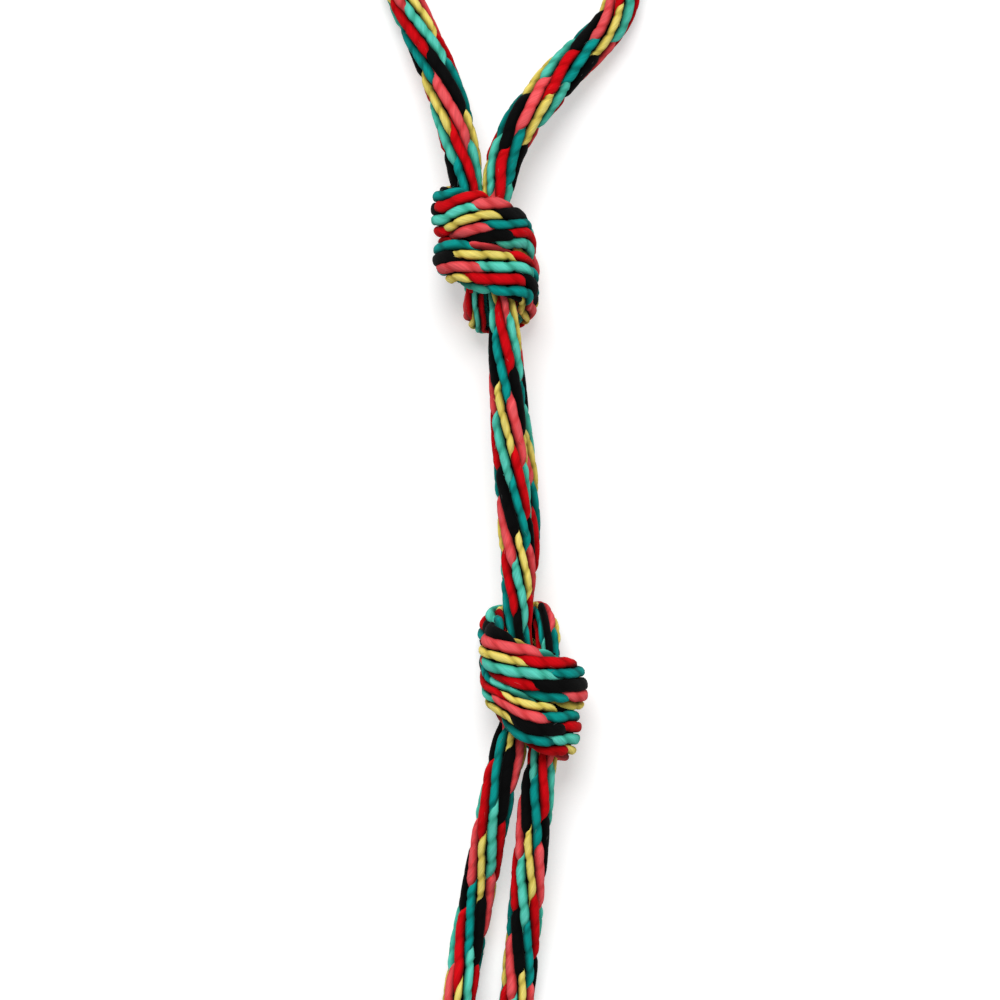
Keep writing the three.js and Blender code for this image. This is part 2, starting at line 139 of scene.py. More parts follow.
# The ropes' routes through a knot, in rope diameters from its middle, and how flat the rope is there.
UPPER_ROW_SHARES = (
    (-0.5, 1.4, 0.0, 0),
    (-0.43, 0.9, -0.26, 0),
    (-0.4, 0.45, -0.42, 0),
    (-0.4, -0.1, -0.42, 0),
    (-0.38, -0.65, -0.48, 0),
    (-0.15, -1.05, -0.75, 0.1),
    (0.3, -1.1, -1.08, 0.2),
    (0.72, -0.8, -1.1, 0.3),
    (1.0, -0.45, -0.85, 0.5),
    (1.04, 0.05, -0.4, 0.8),
    (1.02, 0.5, 0.1, 1),
    (0.86, 0.76, 0.75, 1),
    (0.36, 0.98, 1.13, 1),
    (-0.34, 1.12, 1.15, 1),
    (-0.9, 1.18, 0.75, 1),
    (-1.12, 1.24, 0.05, 1),
    (-0.9, 1.4, -0.6, 0.8),
    (-0.35, 1.5, -0.9, 0.6),
    (0.15, 1.4, -0.9, 0.5),
    (0.5, 1.15, -0.65, 0.3),
    (0.5, 0.65, -0.05, 0),
    (0.42, 0.1, 0.36, 0),
    (0.42, -0.6, 0.42, 0),
)
LOWER_ROW_SHARES = (
    (0.14, 1.4, 0.18, 0),
    (-0.1, 0.9, 0.36, 0),
    (-0.34, 0.4, 0.42, 0),
    (-0.4, -0.3, 0.42, 0),
    (-0.42, -0.95, 0.38, 0),
    (-0.42, -1.5, 0.05, 0.1),
    (-0.25, -1.76, -0.5, 0.2),
    (0.1, -1.78, -1.0, 0.2),
    (0.6, -1.6, -1.12, 0.3),
    (0.96, -1.25, -0.75, 0.5),
    (1.04, -0.92, -0.2, 0.8),
    (1.0, -0.6, 0.35, 1),
    (0.8, -0.42, 0.85, 1),
    (0.3, -0.28, 1.13, 1),
    (-0.4, -0.12, 1.15, 1),
    (-1.05, 0.0, 0.8, 1),
    (-1.3, 0.1, 0.1, 1),
    (-0.95, 0.3, -0.6, 0.8),
    (-0.4, 0.4, -1.1, 0.6),
    (0.05, 0.35, -1.1, 0.5),
    (0.4, 0.0, -0.8, 0.2),
    (0.42, -0.5, -0.45, 0),
    (0.42, -0.95, -0.42, 0),
)
END_KNOT_SHARES = (
    (-0.2, 0.8, 0.05, 0),
    (-0.42, 0.0, 0.0, 0),
    (-0.4, -0.7, -0.25, 0.2),
    (0.1, -1.05, -0.7, 0.8),
    (0.75, -0.7, -0.6, 1),
    (1.0, -0.2, 0.05, 1),
    (0.6, 0.1, 0.7, 1),
    (-0.1, 0.3, 0.85, 1),
    (-0.8, 0.45, 0.5, 1),
    (-0.95, 0.6, -0.15, 1),
    (-0.5, 0.75, -0.75, 1),
    (0.2, 0.65, -0.75, 0.7),
    (0.55, 0.2, -0.35, 0.2),
    (0.42, -0.4, 0.1, 0),
    (0.2, -1.1, 0.2, 0),
)
# The handle from its left leg to its right: across, up and height, as shares of the handle.
HANDLE_SHARES = (
    (-0.132, 0.113, 0.96),
    (-0.196, 0.274, 0.58),
    (-0.285, 0.435, 0.2),
    (-0.36, 0.568, 0.05),
    (-0.413, 0.729, 0),
    (-0.39, 0.86, 0),
    (-0.275, 0.957, 0),
    (-0.085, 1, 0),
    (0.135, 1, 0),
    (0.345, 0.957, 0),
    (0.5, 0.85, 0),
    (0.578, 0.706, 0),
    (0.572, 0.58, 0),
    (0.556, 0.516, 0.01),
    (0.502, 0.435, 0.06),
    (0.403, 0.355, 0.2),
    (0.295, 0.274, 0.41),
    (0.213, 0.194, 0.7),
    (0.134, 0.113, 0.96),
)
# The middle's two ropes: along as a share of its length, across and up in rope diameters.
FRONT_BOW_SHARES = ((0, 0, 0), (0.3, -0.02, 0), (0.5, 0.0, 0), (0.7, 0.0, 0), (1, 0, 0))
BACK_BOW_SHARES = ((0, 0, 0), (0.3, 0.12, 0.03), (0.5, 0.24, 0.05), (0.75, 0.22, 0.04), (1, 0, 0))
# A tail: along as a share of its length, across in rope diameters, and height as a share of the drop.
TAIL_SHARES = (
    (0.2, 0.0, 0.88),
    (0.4, 0.02, 0.5),
    (0.5, 0.02, 0.28),
    (0.6, 0.02, 0.2),
    (0.75, 0, 0.2),
    (0.88, 0, 0.36),
)


@dataclass(frozen=True)
class Nudge:
    """A soft push on whatever runs past a place, which draws the ropes to their outline in the photo."""

    x: float
    y: float
    right: float
    up: float
    reach: tuple[float, float] = (6.0, 7.0)
    grow: float = 0.0

    def weight(self, points: np.ndarray) -> np.ndarray:
        """Returns how much of the push reaches each point."""
        across = (points[:, 0] / MM - self.x) / self.reach[0]
        along = (points[:, 1] / MM - self.y) / self.reach[1]
        return np.exp(-0.5 * (across**2 + along**2))


# In millimetres, in the toy's own frame.
NUDGES = (
    Nudge(-23, 178, 0, 0, (10, 22), grow=0.45),
    Nudge(13.5, 180, 0.7, 0, (20, 18), grow=0.8),
    Nudge(-2, 146, -1.2, 0, (5, 7)),
    Nudge(-15, 146, 0.7, 0, (5, 7)),
    Nudge(5.5, 137, -1.4, -1.5, (7, 5)),
    Nudge(-26, 135.5, 1.0, 0),
    Nudge(-24.5, 109, 3.0, 1.4, (7, 4.5)),
    Nudge(11, 121.5, -1.4, 0),
    Nudge(-15.5, 95, 2.8, 0, (5, 6)),
    Nudge(12, 98.5, -2.0, 0, (5, 7)),
    Nudge(4, 14, 0.9, 0, (12, 14)),
    Nudge(-6, -3.5, 0.5, 2.6, (6, 6)),
    Nudge(18.5, -7.5, -3.4, 0.6, (6, 8)),
    Nudge(13, -2, 0, 2.0, (6, 5)),
    Nudge(26, -23, -1.3, 0, (6, 5)),
    Nudge(-9.5, -20, 0, 1.8, (8, 6)),
    Nudge(-9.5, -43, 1.6, 5.4, (7, 9)),
    Nudge(26, -36, 1.0, 0, (6, 4)),
    Nudge(0.5, -47, 2.0, 0, (8, 8)),
    Nudge(-27, -141, 0, -6.5, (10, 12)),
    Nudge(5, -57, 0.7, 0, (3.5, 5)),
)


def nudged(points: np.ndarray) -> np.ndarray:
    """Returns points as the nudges move them."""
    moved = points.copy()
    for nudge in NUDGES:
        moved[:, :2] += nudge.weight(points)[:, None] * np.array([nudge.right, nudge.up]) * MM
    return moved


def unit(vectors: np.ndarray) -> np.ndarray:
    """Returns vectors at length 1, and leaves a vector with no length as it is."""
    length = np.linalg.norm(vectors, axis=-1, keepdims=True)
    return vectors / np.where(length > 0, length, 1.0)


def leaning(degrees: float, sign: float) -> np.ndarray:
    """Returns the level direction that leans so far from +Y, or from -Y where sign is -1."""
    angle = math.radians(degrees)
    return np.array([math.sin(angle), sign * math.cos(angle), 0.0])


def left_of(way: np.ndarray) -> np.ndarray:
    """Returns the level direction a quarter turn to the left of another."""
    return np.array([-way[1], way[0], 0.0])


def at_length_1(x: float, y: float, z: float) -> tuple[float, float, float]:
    """Returns one vector at length 1, and leaves a vector with no length as it is."""
    size = math.sqrt(x * x + y * y + z * z) or 1.0
    return x / size, y / size, z / size


def squared_to(way: list[float], vector: tuple[float, float, float]) -> tuple[float, float, float]:
    """Returns the part of a vector at right angles to a direction, at length 1.

    Args:
        way: the direction, at length 1.
        vector: the vector, whose part along the direction is taken away.
    """
    (x, y, z), (wx, wy, wz) = vector, way
    dot = x * wx + y * wy + z * wz
    return at_length_1(x - dot * wx, y - dot * wy, z - dot * wz)


def smooth(share: np.ndarray) -> np.ndarray:
    """Returns 0 below 0, 1 above 1 and a soft step between them."""
    held = np.clip(share, 0.0, 1.0)
    return held * held * (3.0 - 2.0 * held)


def joint_at(name: str) -> np.ndarray:
    """Returns the point that a joint of the frame turns about, in metres."""
    found = next(joint for joint in frame["joints"] if joint["name"] == name)
    return np.array(found["pos_m"])


def blurred(values: np.ndarray, points: float) -> np.ndarray:
    """Smooths values along a line, and leaves its two ends where they are.

    Args:
        values: one row for each point.
        points: the blur's reach, as a standard deviation in points.

    Returns:
        The smoothed rows.
    """
    reach = int(math.ceil(3 * points))
    weights = np.exp(-0.5 * (np.arange(-reach, reach + 1) / points) ** 2)
    weights /= weights.sum()
    rows = values.reshape(len(values), -1)
    before = 2 * rows[0] - rows[reach:0:-1]
    after = 2 * rows[-1] - rows[-2 : -reach - 2 : -1]
    padded = np.vstack([before, rows, after])
    soft = np.column_stack([np.convolve(column, weights, "valid") for column in padded.T])
    return soft.reshape(values.shape)


class HandCurve:
    """A smooth curve through given points."""

    DENSE = 40

    def __init__(self, points: list[np.ndarray] | np.ndarray) -> None:
        """Keeps the points and measures the curve.

        Args:
            points: the points that it runs through, in order.
        """
        self.points = np.asarray(points, float)
        self.along = np.linspace(0, len(self.points) - 1, (len(self.points) - 1) * self.DENSE + 1)
        steps = np.linalg.norm(np.diff(self.at(self.along), axis=0), axis=1)
        self.distance = np.concatenate([[0.0], np.cumsum(steps)])

    @property
    def length(self) -> float:
        """The curve's length."""
        return float(self.distance[-1])

    def at(self, along: np.ndarray) -> np.ndarray:
        """Returns the curve at parameters that count its points, from 0 to the last."""
        points = self.points
        padded = np.vstack([2 * points[0] - points[1], points, 2 * points[-1] - points[-2]])
        first = np.clip(np.floor(along).astype(int), 0, len(points) - 2)
        share = (along - first)[:, None]
        p0, p1, p2, p3 = (padded[first + k] for k in range(4))
        d0, d1, d2 = (
            np.maximum(np.sqrt(np.linalg.norm(b - a, axis=1)), 1e-9)[:, None]
            for a, b in ((p0, p1), (p1, p2), (p2, p3))
        )
        start = ((p1 - p0) / d0 - (p2 - p0) / (d0 + d1) + (p2 - p1) / d1) * d1
        end = ((p2 - p1) / d1 - (p3 - p1) / (d1 + d2) + (p3 - p2) / d2) * d1
        cubed, squared = share**3, share**2
        return (
            (2 * cubed - 3 * squared + 1) * p1
            + (cubed - 2 * squared + share) * start
            + (3 * squared - 2 * cubed) * p2
            + (cubed - squared) * end
        )

    def places(self, shares: np.ndarray) -> np.ndarray:
        """Returns the parameters that lie at shares of the curve's length."""
        return np.interp(np.asarray(shares) * self.length, self.distance, self.along)

    def spaced(self, step: float) -> np.ndarray:
        """Returns evenly spaced points, about so far apart."""
        count = max(int(round(self.length / step)), 2)
        return self.at(self.places(np.linspace(0, 1, count + 1)))


@dataclass(frozen=True)
class Exit:
    """Where a rope leaves a knot: in rope diameters from its middle, with its lean in degrees."""

    at_share: tuple[float, float, float]
    lean: float

    def point(self) -> np.ndarray:
        """Returns the point in the knot's own frame, in metres."""
        return np.array(self.at_share) * ROPE.diameter


class BigKnotExit(Enum):
    """The ways out of the two big knots."""

    UPPER_RIGHT = Exit((0.5, 2.89, 0.05), 8)
    UPPER_LEFT = Exit((-0.69, 2.89, 0.05), -6)
    LOWER_LEFT = Exit((0.55, 2.95, 0.05), 1)
    LOWER_RIGHT = Exit((-0.56, 2.95, 0.05), -3.5)
    UPPER_FRONT = Exit((0.55, -2.71, 0.54), 2.5)
    UPPER_BACK = Exit((0.55, -2.71, -0.54), 2.5)
    LOWER_FRONT = Exit((0.84, -2.71, 0.54), 10.5)
    LOWER_BACK = Exit((0.84, -2.71, -0.54), 10.5)


TAIL_EXIT = Exit((0, 2.1, 0), 0)
FRINGE_EXIT = Exit((0, -2.2, 0), 0)


@dataclass(frozen=True)
class Place:
    """Where a knot stands: its middle, and how far it is turned about the vertical."""

    middle: np.ndarray
    degrees: float = 0.0

    def turned(self, vectors: np.ndarray) -> np.ndarray:
        """Returns directions turned as the knot is."""
        angle = math.radians(self.degrees)
        cosine, sine = math.cos(angle), math.sin(angle)
        matrix = np.array([[cosine, -sine, 0], [sine, cosine, 0], [0, 0, 1]])
        return vectors @ matrix.T

    def placed(self, points: np.ndarray) -> np.ndarray:
        """Returns points of the knot where they stand in the toy."""
        return self.turned(points) + self.middle


class KnottedRope:
    """One rope's run through a knot, as evenly spaced points with a section at each."""

    def __init__(self, shares: tuple, start: Exit, finish: Exit) -> None:
        """Lays the rope along its route.

        Args:
            shares: the route's rows, in rope diameters, each with how flat the rope is.
            start: the way in.
            finish: the way out.
        """
        step = KNOT.step_share * ROPE.diameter
        first = start.point() - ROPE.stub * leaning(start.lean, 1)
        last = finish.point() - ROPE.stub * leaning(finish.lean, -1)
        start_in = first - ROPE.diameter * leaning(start.lean, 1)
        last_in = last - ROPE.diameter * leaning(finish.lean, -1)
        rows = np.array(shares, float)
        hand = rows[:, :3] * ROPE.diameter
        curve = HandCurve(np.vstack([first, start_in, hand, last_in, last]))
        flats = np.concatenate([[0, 0], rows[:, 3], [0, 0]])
        count = int(round(curve.length / step))
        along = curve.places(np.linspace(0, 1, count + 1))
        self.at = curve.at(along)
        self.flat = np.interp(along, np.arange(len(flats)), flats)
        straight = math.ceil(ROPE.diameter / step - 1e-9)
        share = (np.arange(straight + 1) / straight)[:, None]
        self.at[: straight + 1] = first + (start_in - first) * share
        self.at[::-1][: straight + 1] = last + (last_in - last) * share
        index = np.arange(count + 1)
        self.held = (index <= straight) | (index >= count - straight)
        self.home = self.at.copy()
        to_end = np.minimum(index, count - index) * step
        inside = smooth(to_end / (KNOT.narrow_share * ROPE.diameter))
        self.round = ROPE.diameter + (ROPE.core - ROPE.diameter) * inside
        self.half_thin = (self.round + (ROPE.wrap_thickness - self.round) * self.flat) / 2
        self.half_wide = (self.round + (ROPE.wrap_width - self.round) * self.flat) / 2
        self.orient()

    def orient(self) -> None:
        """Turns each section's thin direction away from the knot's middle."""
        at = self.at
        along = unit(np.vstack([at[1] - at[0], at[2:] - at[:-2], at[-1] - at[-2]]))
        outward = at.copy()
        outward[:, 1] = np.minimum(outward[:, 1] + ROPE.diameter, 0.0)
        outward = unit(outward - (outward * along).sum(1)[:, None] * along)
        carried = (0.0, 0.0, 1.0)
        thin = []
        turns = (KNOT.turn_share * self.flat).tolist()
        for way, out, turn in zip(along.tolist(), outward.tolist(), turns):
            carried = squared_to(way, carried)
            x, y, z = carried
            sign = -1.0 if out[0] * x + out[1] * y + out[2] * z < 0 else 1.0
            carried = at_length_1(*(now + (sign * aim - now) * turn for now, aim in zip(carried, out)))
            thin.append(carried)
        self.thin = np.array(thin)
        self.wide = unit(np.cross(self.thin, along))

    def table(self) -> list[list[float]]:
        """Returns a row for each point: the point, and its section's thin and wide half sides as vectors."""
        thin, wide = self.thin * self.half_thin[:, None], self.wide * self.half_wide[:, None]
        return np.hstack([self.at, thin, wide]).tolist()

    def relax(self, home_share: float) -> None:
        """Draws the free points towards their neighbours and back towards the route.

        Args:
            home_share: the share of the way back to the route.
        """
        middle = (self.at[:-2] + self.at[2:]) / 2
        soft = self.at[1:-1] + (middle - self.at[1:-1]) * KNOT.smooth_share
        soft += (self.home[1:-1] - soft) * home_share
        free = ~self.held[1:-1]
        self.at[1:-1][free] = soft[free]


class Knot:
    """Ropes tied together, which press each other aside until they share no space."""

    def __init__(self, ropes: list[KnottedRope], rest_height: float) -> None:
        """Settles the ropes.

        Args:
            ropes: the ropes' runs through the knot.
            rest_height: how high the knot's middle is above the floor.
        """
        self.ropes = ropes
        self.rest_height = rest_height
        for turn in range(KNOT.rounds):
            late = turn >= KNOT.rounds * KNOT.late_share
            for rope in ropes:
                rope.relax(KNOT.late_home_share if late else KNOT.home_share)
            for _ in range(KNOT.passes):
                for a, one in enumerate(ropes):
                    for other in ropes[a:]:
                        self.press(one, other)
            for rope in ropes:
                self.rest(rope)
                rope.orient()

    @staticmethod
    def reach(rope: KnottedRope, apart: np.ndarray, axis: int) -> np.ndarray:
        """Returns how far a rope's sections reach along directions, one table for a pair of ropes.

        Args:
            rope: the rope whose sections reach.
            apart: the directions between the ropes' points.
            axis: 0 where the rope's points are the table's rows, 1 where they are its columns.
        """
        pattern = "ic,ijc->ij" if axis == 0 else "jc,ijc->ij"
        shape = (-1, 1) if axis == 0 else (1, -1)
        thin = np.einsum(pattern, rope.thin, apart) * rope.half_thin.reshape(shape)
        wide = np.einsum(pattern, rope.wide, apart) * rope.half_wide.reshape(shape)
        return np.hypot(thin, wide)

    def press(self, one: KnottedRope, other: KnottedRope) -> None:
        """Moves two ropes, or a rope's own turns, apart wherever they share space.

        Args:
            one: the first rope.
            other: the second rope, which may be the first.
        """
        apart = other.at[None] - one.at[:, None]
        distance = np.linalg.norm(apart, axis=2)
        near = distance < ROPE.wrap_width + ROPE.press
        near &= ~(one.held[:, None] & other.held[None])
        if one is other:
            nearest = math.ceil(KNOT.least_turn_share / KNOT.step_share)
            index = np.arange(len(one.at))
            near &= index[None] - index[:, None] >= nearest
        apart /= np.where(distance > 0, distance, 1.0)[:, :, None]
        short = self.reach(one, apart, 0) + self.reach(other, apart, 1) + ROPE.press - distance
        first, second = np.nonzero(near & (short > 0))
        rows = one.table()
        others = rows if one is other else other.table()
        for i, j in zip(first.tolist(), second.tolist()):
            self.part(rows[i], others[j], bool(one.held[i]), bool(other.held[j]))
        one.at[:] = np.array(rows)[:, :3]
        other.at[:] = np.array(others)[:, :3]

    @staticmethod
    def part(a: list[float], b: list[float], a_held: bool, b_held: bool) -> None:
        """Moves two points apart by a share of what their sections overlap.

        Args:
            a: one point's row in its rope's table.
            b: the other point's row.
            a_held: whether the first point stays where it is.
            b_held: whether the second point stays where it is.
        """
        dx, dy, dz = b[0] - a[0], b[1] - a[1], b[2] - a[2]
        distance = math.sqrt(dx * dx + dy * dy + dz * dz)
        if distance == 0:
            return
        dx, dy, dz = dx / distance, dy / distance, dz / distance
        reach = math.hypot(a[3] * dx + a[4] * dy + a[5] * dz, a[6] * dx + a[7] * dy + a[8] * dz)
        reach += math.hypot(b[3] * dx + b[4] * dy + b[5] * dz, b[6] * dx + b[7] * dy + b[8] * dz)
        short = reach + ROPE.press - distance
        if short <= 0:
            return
        move = short * KNOT.give_share * (2 if a_held or b_held else 1)
        if not a_held:
            a[0] -= dx * move
            a[1] -= dy * move
            a[2] -= dz * move
        if not b_held:
            b[0] += dx * move
            b[1] += dy * move
            b[2] += dz * move

    def rest(self, rope: KnottedRope) -> None:
        """Lifts a rope's free points that would lie too far below the floor."""
        reach = np.hypot(rope.half_thin * rope.thin[:, 2], rope.half_wide * rope.wide[:, 2])
        sunk = -self.rest_height - KNOT.flat - (rope.at[:, 2] - reach)
        rope.at[:, 2] += np.where(rope.held, 0.0, np.maximum(sunk, 0.0))


@dataclass
class Course:
    """A run of rope: points along its middle, and the section at each."""

    at: np.ndarray
    half_wide: np.ndarray
    half_thin: np.ndarray
    wide: np.ndarray
    flat: np.ndarray

    @classmethod
    def free(cls, points: np.ndarray) -> "Course":
        """Returns a run of free, round rope along points."""
        full = np.full(len(points), ROPE.radius)
        return cls(points, full, full.copy(), np.zeros_like(points), np.zeros(len(points)))

    @classmethod
    def knotted(cls, rope: KnottedRope, place: Place) -> "Course":
        """Returns a knotted rope's run, where the knot stands."""
        wide = place.turned(rope.wide)
        return cls(place.placed(rope.at), rope.half_wide, rope.half_thin, wide, rope.flat)

    @classmethod
    def joined(cls, *parts: "Course") -> "Course":
        """Returns several runs as one."""
        return cls(*(np.concatenate([getattr(part, one.name) for part in parts]) for one in fields(cls)))

    def cut(self, kept: slice) -> "Course":
        """Returns the run at the points that a slice keeps, in the slice's order."""
        return Course(*(getattr(self, one.name)[kept] for one in fields(self)))

    def turned_round(self) -> "Course":
        """Returns the run from its other end."""
        return self.cut(slice(None, None, -1))


class EvenEllipse:
    """Finds where equal steps round an ellipse lie, for ellipses of any flatness."""

    RATIOS = 33
    LEAST_RATIO = 0.2
    STEPS = 256

    def __init__(self) -> None:
        """Works out the table of angles."""
        angles = np.linspace(0, 2 * math.pi, 4 * self.STEPS + 1)
        rows = []
        for ratio in np.linspace(self.LEAST_RATIO, 1.0, self.RATIOS):
            outline = np.column_stack([np.cos(angles), ratio * np.sin(angles)])
            steps = np.linalg.norm(np.diff(outline, axis=0), axis=1)
            distance = np.concatenate([[0.0], np.cumsum(steps)])
            rows.append(np.interp(np.linspace(0, 1, self.STEPS + 1), distance / distance[-1], angles))
        self.table = np.array(rows)

    def angle(self, share: np.ndarray, ratio: np.ndarray) -> np.ndarray:
        """Returns the ellipse's angle at a share of its way round.

        Args:
            share: the share of the way round, which may pass 1.
            ratio: the ellipse's short side over its long side.
        """
        turns = np.floor(share)
        across = (share - turns) * self.STEPS
        down = np.clip((ratio - self.LEAST_RATIO) / (1 - self.LEAST_RATIO), 0, 1) * (self.RATIOS - 1)
        i = np.minimum(down.astype(int), self.RATIOS - 2)
        j = np.minimum(across.astype(int), self.STEPS - 1)
        u, v = down - i, across - j
        table = self.table
        top = table[i, j] * (1 - v) + table[i, j + 1] * v
        low = table[i + 1, j] * (1 - v) + table[i + 1, j + 1] * v
        return top * (1 - u) + low * u + 2 * math.pi * turns


EVEN = EvenEllipse()


class Line:
    """A course in fine even steps, with a frame that doesn't twist about the rope."""

    STEP = 0.5 * MM
    PATH_BLUR = 1.6 * MM
    SECTION_BLUR = 2.0 * MM
    TURN_BLUR = 3.0 * MM
    PRESSED = 0.5 * MM
    LEVEL = 0.1
    LEAST_WEIGHT = 1e-5

    def __init__(self, course: Course, swell: float) -> None:
        """Smooths the course and carries a frame along it.

        Args:
            course: the run of rope.
            swell: how far a knotted rope swells into the space that its solid leaves free.
        """
        curve = HandCurve(course.at)
        count = int(round(curve.length / self.STEP))
        along = curve.places(np.linspace(0, 1, count + 1))
        self.step = curve.length / count
        self.length = curve.length
        self.at = blurred(curve.at(along), self.PATH_BLUR / self.step)
        index = np.arange(len(course.at))
        sizes = (course.half_wide, course.half_thin)
        half = np.column_stack([np.interp(along, index, size) for size in sizes])
        half = blurred(half, self.SECTION_BLUR / self.step)
        pressed = smooth((ROPE.radius - half[:, 1]) / self.PRESSED)[:, None]
        self.half = half + swell * pressed
        for nudge in NUDGES:
            self.half += nudge.weight(self.at)[:, None] * nudge.grow * MM
        self.flat = blurred(np.interp(along, index, course.flat), self.SECTION_BLUR / self.step)
        self.tangent = unit(np.gradient(self.at, axis=0))
        self.carry_frame()
        wide = np.column_stack([np.interp(along, index, course.wide[:, k]) for k in range(3)])
        self.aim_sections(wide)
        self.channels = np.column_stack(
            [self.at, self.tangent, self.first, self.half, self.section_angle, self.flat]
        )

    def carry_frame(self) -> None:
        """Carries the first direction across the rope from each step to the next."""
        start = np.cross(self.tangent[0], UP)
        if np.linalg.norm(start) < self.LEVEL:
            start = np.cross(self.tangent[0], np.array([1.0, 0.0, 0.0]))
        carried = tuple(unit(start).tolist())
        rows = []
        for way in self.tangent.tolist():
            carried = squared_to(way, carried)
            rows.append(carried)
        self.first = np.array(rows)

    def aim_sections(self, wide: np.ndarray) -> None:
        """Finds how far each section's wide side is turned from the carried frame.

        Args:
            wide: the direction of each section's wide side.
        """
        second = np.cross(self.tangent, self.first)
        angle = np.arctan2((wide * second).sum(1), (wide * self.first).sum(1))
        weight = self.flat * np.linalg.norm(wide, axis=1) + self.LEAST_WEIGHT
        doubled = np.column_stack([np.cos(2 * angle) * weight, np.sin(2 * angle) * weight])
        doubled = blurred(doubled, self.TURN_BLUR / self.step)
        self.section_angle = np.unwrap(np.arctan2(doubled[:, 1], doubled[:, 0])) / 2

    def sample(self, distance: np.ndarray) -> np.ndarray:
        """Returns the line's channels at distances from its start.

        Args:
            distance: the distances.

        Returns:
            A row for each: the point, the tangent and the first direction across, three columns each, then
            half the width, half the thickness, the section's turn and how flat it is.
        """
        place = np.clip(distance / self.step, 0, len(self.at) - 1.001)
        first = place.astype(int)
        share = (place - first)[:, None]
        return self.channels[first] * (1 - share) + self.channels[first + 1] * share


@dataclass(frozen=True)
class Lay:
    """How the braid lies at one place: how far it is shifted along, in floats, and rolled, in columns.

    Most rows of this kind below aren't chosen by hand. A random search found them, against the colours that
    were read off the photo.
    """

    distance: float
    phase: float
    roll: float


@dataclass(frozen=True)
class BraidSizes:
    """The braid: eight columns of floats round a core."""

    columns: int = 8
    float_length: float = 22.6 * MM
    pair_step: float = 0.75
    pair_lag: float = 0.185
    turn_per_float: float = 0.75
    even_dyes: tuple[Dye, ...] = (Dye.BLACK, Dye.YELLOW, Dye.RED)
    odd_dyes: tuple[Dye, ...] = (Dye.TEAL, Dye.CORAL, Dye.AQUA)
    sink: float = 1.3 * MM
    bulge: float = 1.55 * MM
    fill: float = 0.96
    overrun: float = 0.21
    tip_side: float = 0.36
    tip_share: float = 0.42
    dive: float = 1.4 * MM
    dive_share: float = 0.34
    tip_width: float = 0.12
    ring_step: float = 0.95 * MM
    least_steps: int = 5
    free_crease: float = 0.21
    wrap_crease: float = 0.25
    uneven: float = 0.06
    # Painted highlight along the top of each float: how strong it is, and above which share of the painted
    # light it begins.
    rubbed: float = 0.7
    rubbed_from: float = 0.9
    shades: tuple[float, float] = (0.9, 1.08)
    hairs: float = 4.0
    hair_length: float = 2.6 * MM
    hair_shares: tuple[float, float] = (0.4, 1.0)
    hair_slant: float = 0.25
    hair_slant_spread: float = 0.2
    hair_lift: float = 0.2
    hair_corner: int = 3
    hair_bow: float = 0.15
    hair_pale: float = 0.6
    hair_pale_shares: tuple[float, float] = (0.04, 0.25)
    core_sink: float = 2.5 * MM
    core_least: float = 1.0 * MM
    core_sides: int = 12
    least_float: float = 4.0 * MM

    def start(self, column: int) -> float:
        """Returns where a column's first float starts, in floats."""
        return self.pair_step * (column // 2) + self.pair_lag * (column % 2)

    def dye(self, column: int, count: int) -> Dye:
        """Returns the dye of a column's float."""
        dyes = self.odd_dyes if column % 2 else self.even_dyes
        return dyes[count % len(dyes)]


BRAID = BraidSizes()


@dataclass
class YarnPlace:
    """Where a yarn runs: its middle, how far along it is, its own way and the way out of the rope."""

    at: np.ndarray
    distance: np.ndarray
    run: np.ndarray
    out: np.ndarray

    @property
    def side(self) -> np.ndarray:
        """The direction across the yarn, along the rope's surface."""
        return np.cross(self.run, self.out)


@dataclass(frozen=True)
class YarnShape:
    """A soft two-ply yarn: round, with a slanting crease wherever one ply slips under the other."""

    sides: int = 14
    lobe: float = 7.4 * MM
    slant: float = 1.0
    sharpness: float = 2.8
    fullness: float = 0.9
    fibre_pitch: float = 15.0 * MM
    fibre_radius: float = 1.8 * MM
    # Painted shade: how dark the creases between the plies are painted, and how dark the side of each yarn
    # that faces the rope's core.
    crease_dark: float = 1.45
    inner_dark: float = 0.72
    shade_start: float = -0.2
    shade_reach: float = 1.15

    def rings(
        self, place: YarnPlace, half: np.ndarray, high: np.ndarray, depth: np.ndarray, turn: float
    ) -> tuple[np.ndarray, np.ndarray, np.ndarray]:
        """Returns the yarn's rings, the painted shade at each corner (darker in the creases between the plies
        and on the side towards the rope's core) and each corner's place in the yarn.

        Args:
            place: where the yarn runs.
            half: half its width along it.
            high: half its height along it.
            depth: how deep its creases are, as a share of its radius.
            turn: where its first crease is, as an angle.
        """
        angle = np.arange(self.sides) * 2 * math.pi / self.sides
        x, y = (np.sign(part) * np.abs(part) ** self.fullness for part in (np.cos(angle), np.sin(angle)))
        x, y = x[None], y[None]
        wave = (2 * math.pi * place.distance / self.lobe)[:, None] + turn - self.slant * y
        crease = (1 - np.abs(np.sin(wave / 2))) ** self.sharpness
        reach = 1 - depth[:, None] * crease
        ring = place.at[:, None] + place.out[:, None] * (x * reach * high[:, None])[..., None]
        ring = ring + place.side[:, None] * (y * reach * half[:, None])[..., None]
        # Painted shade: darker in the creases between the plies and on the yarn's inner side.
        light = 1 - self.crease_dark * depth[:, None] * crease
        light = light * (1 - self.inner_dark * (1 - smooth((x - self.shade_start) / self.shade_reach)))
        turned = angle[None] - (2 * math.pi * place.distance / self.fibre_pitch)[:, None]
        along = np.broadcast_to(place.distance[:, None] + turn, turned.shape)
        across = [part * self.fibre_radius for part in (np.cos(turned), np.sin(turned))]
        return ring, light, np.stack([*across, along], axis=-1)


YARN = YarnShape()


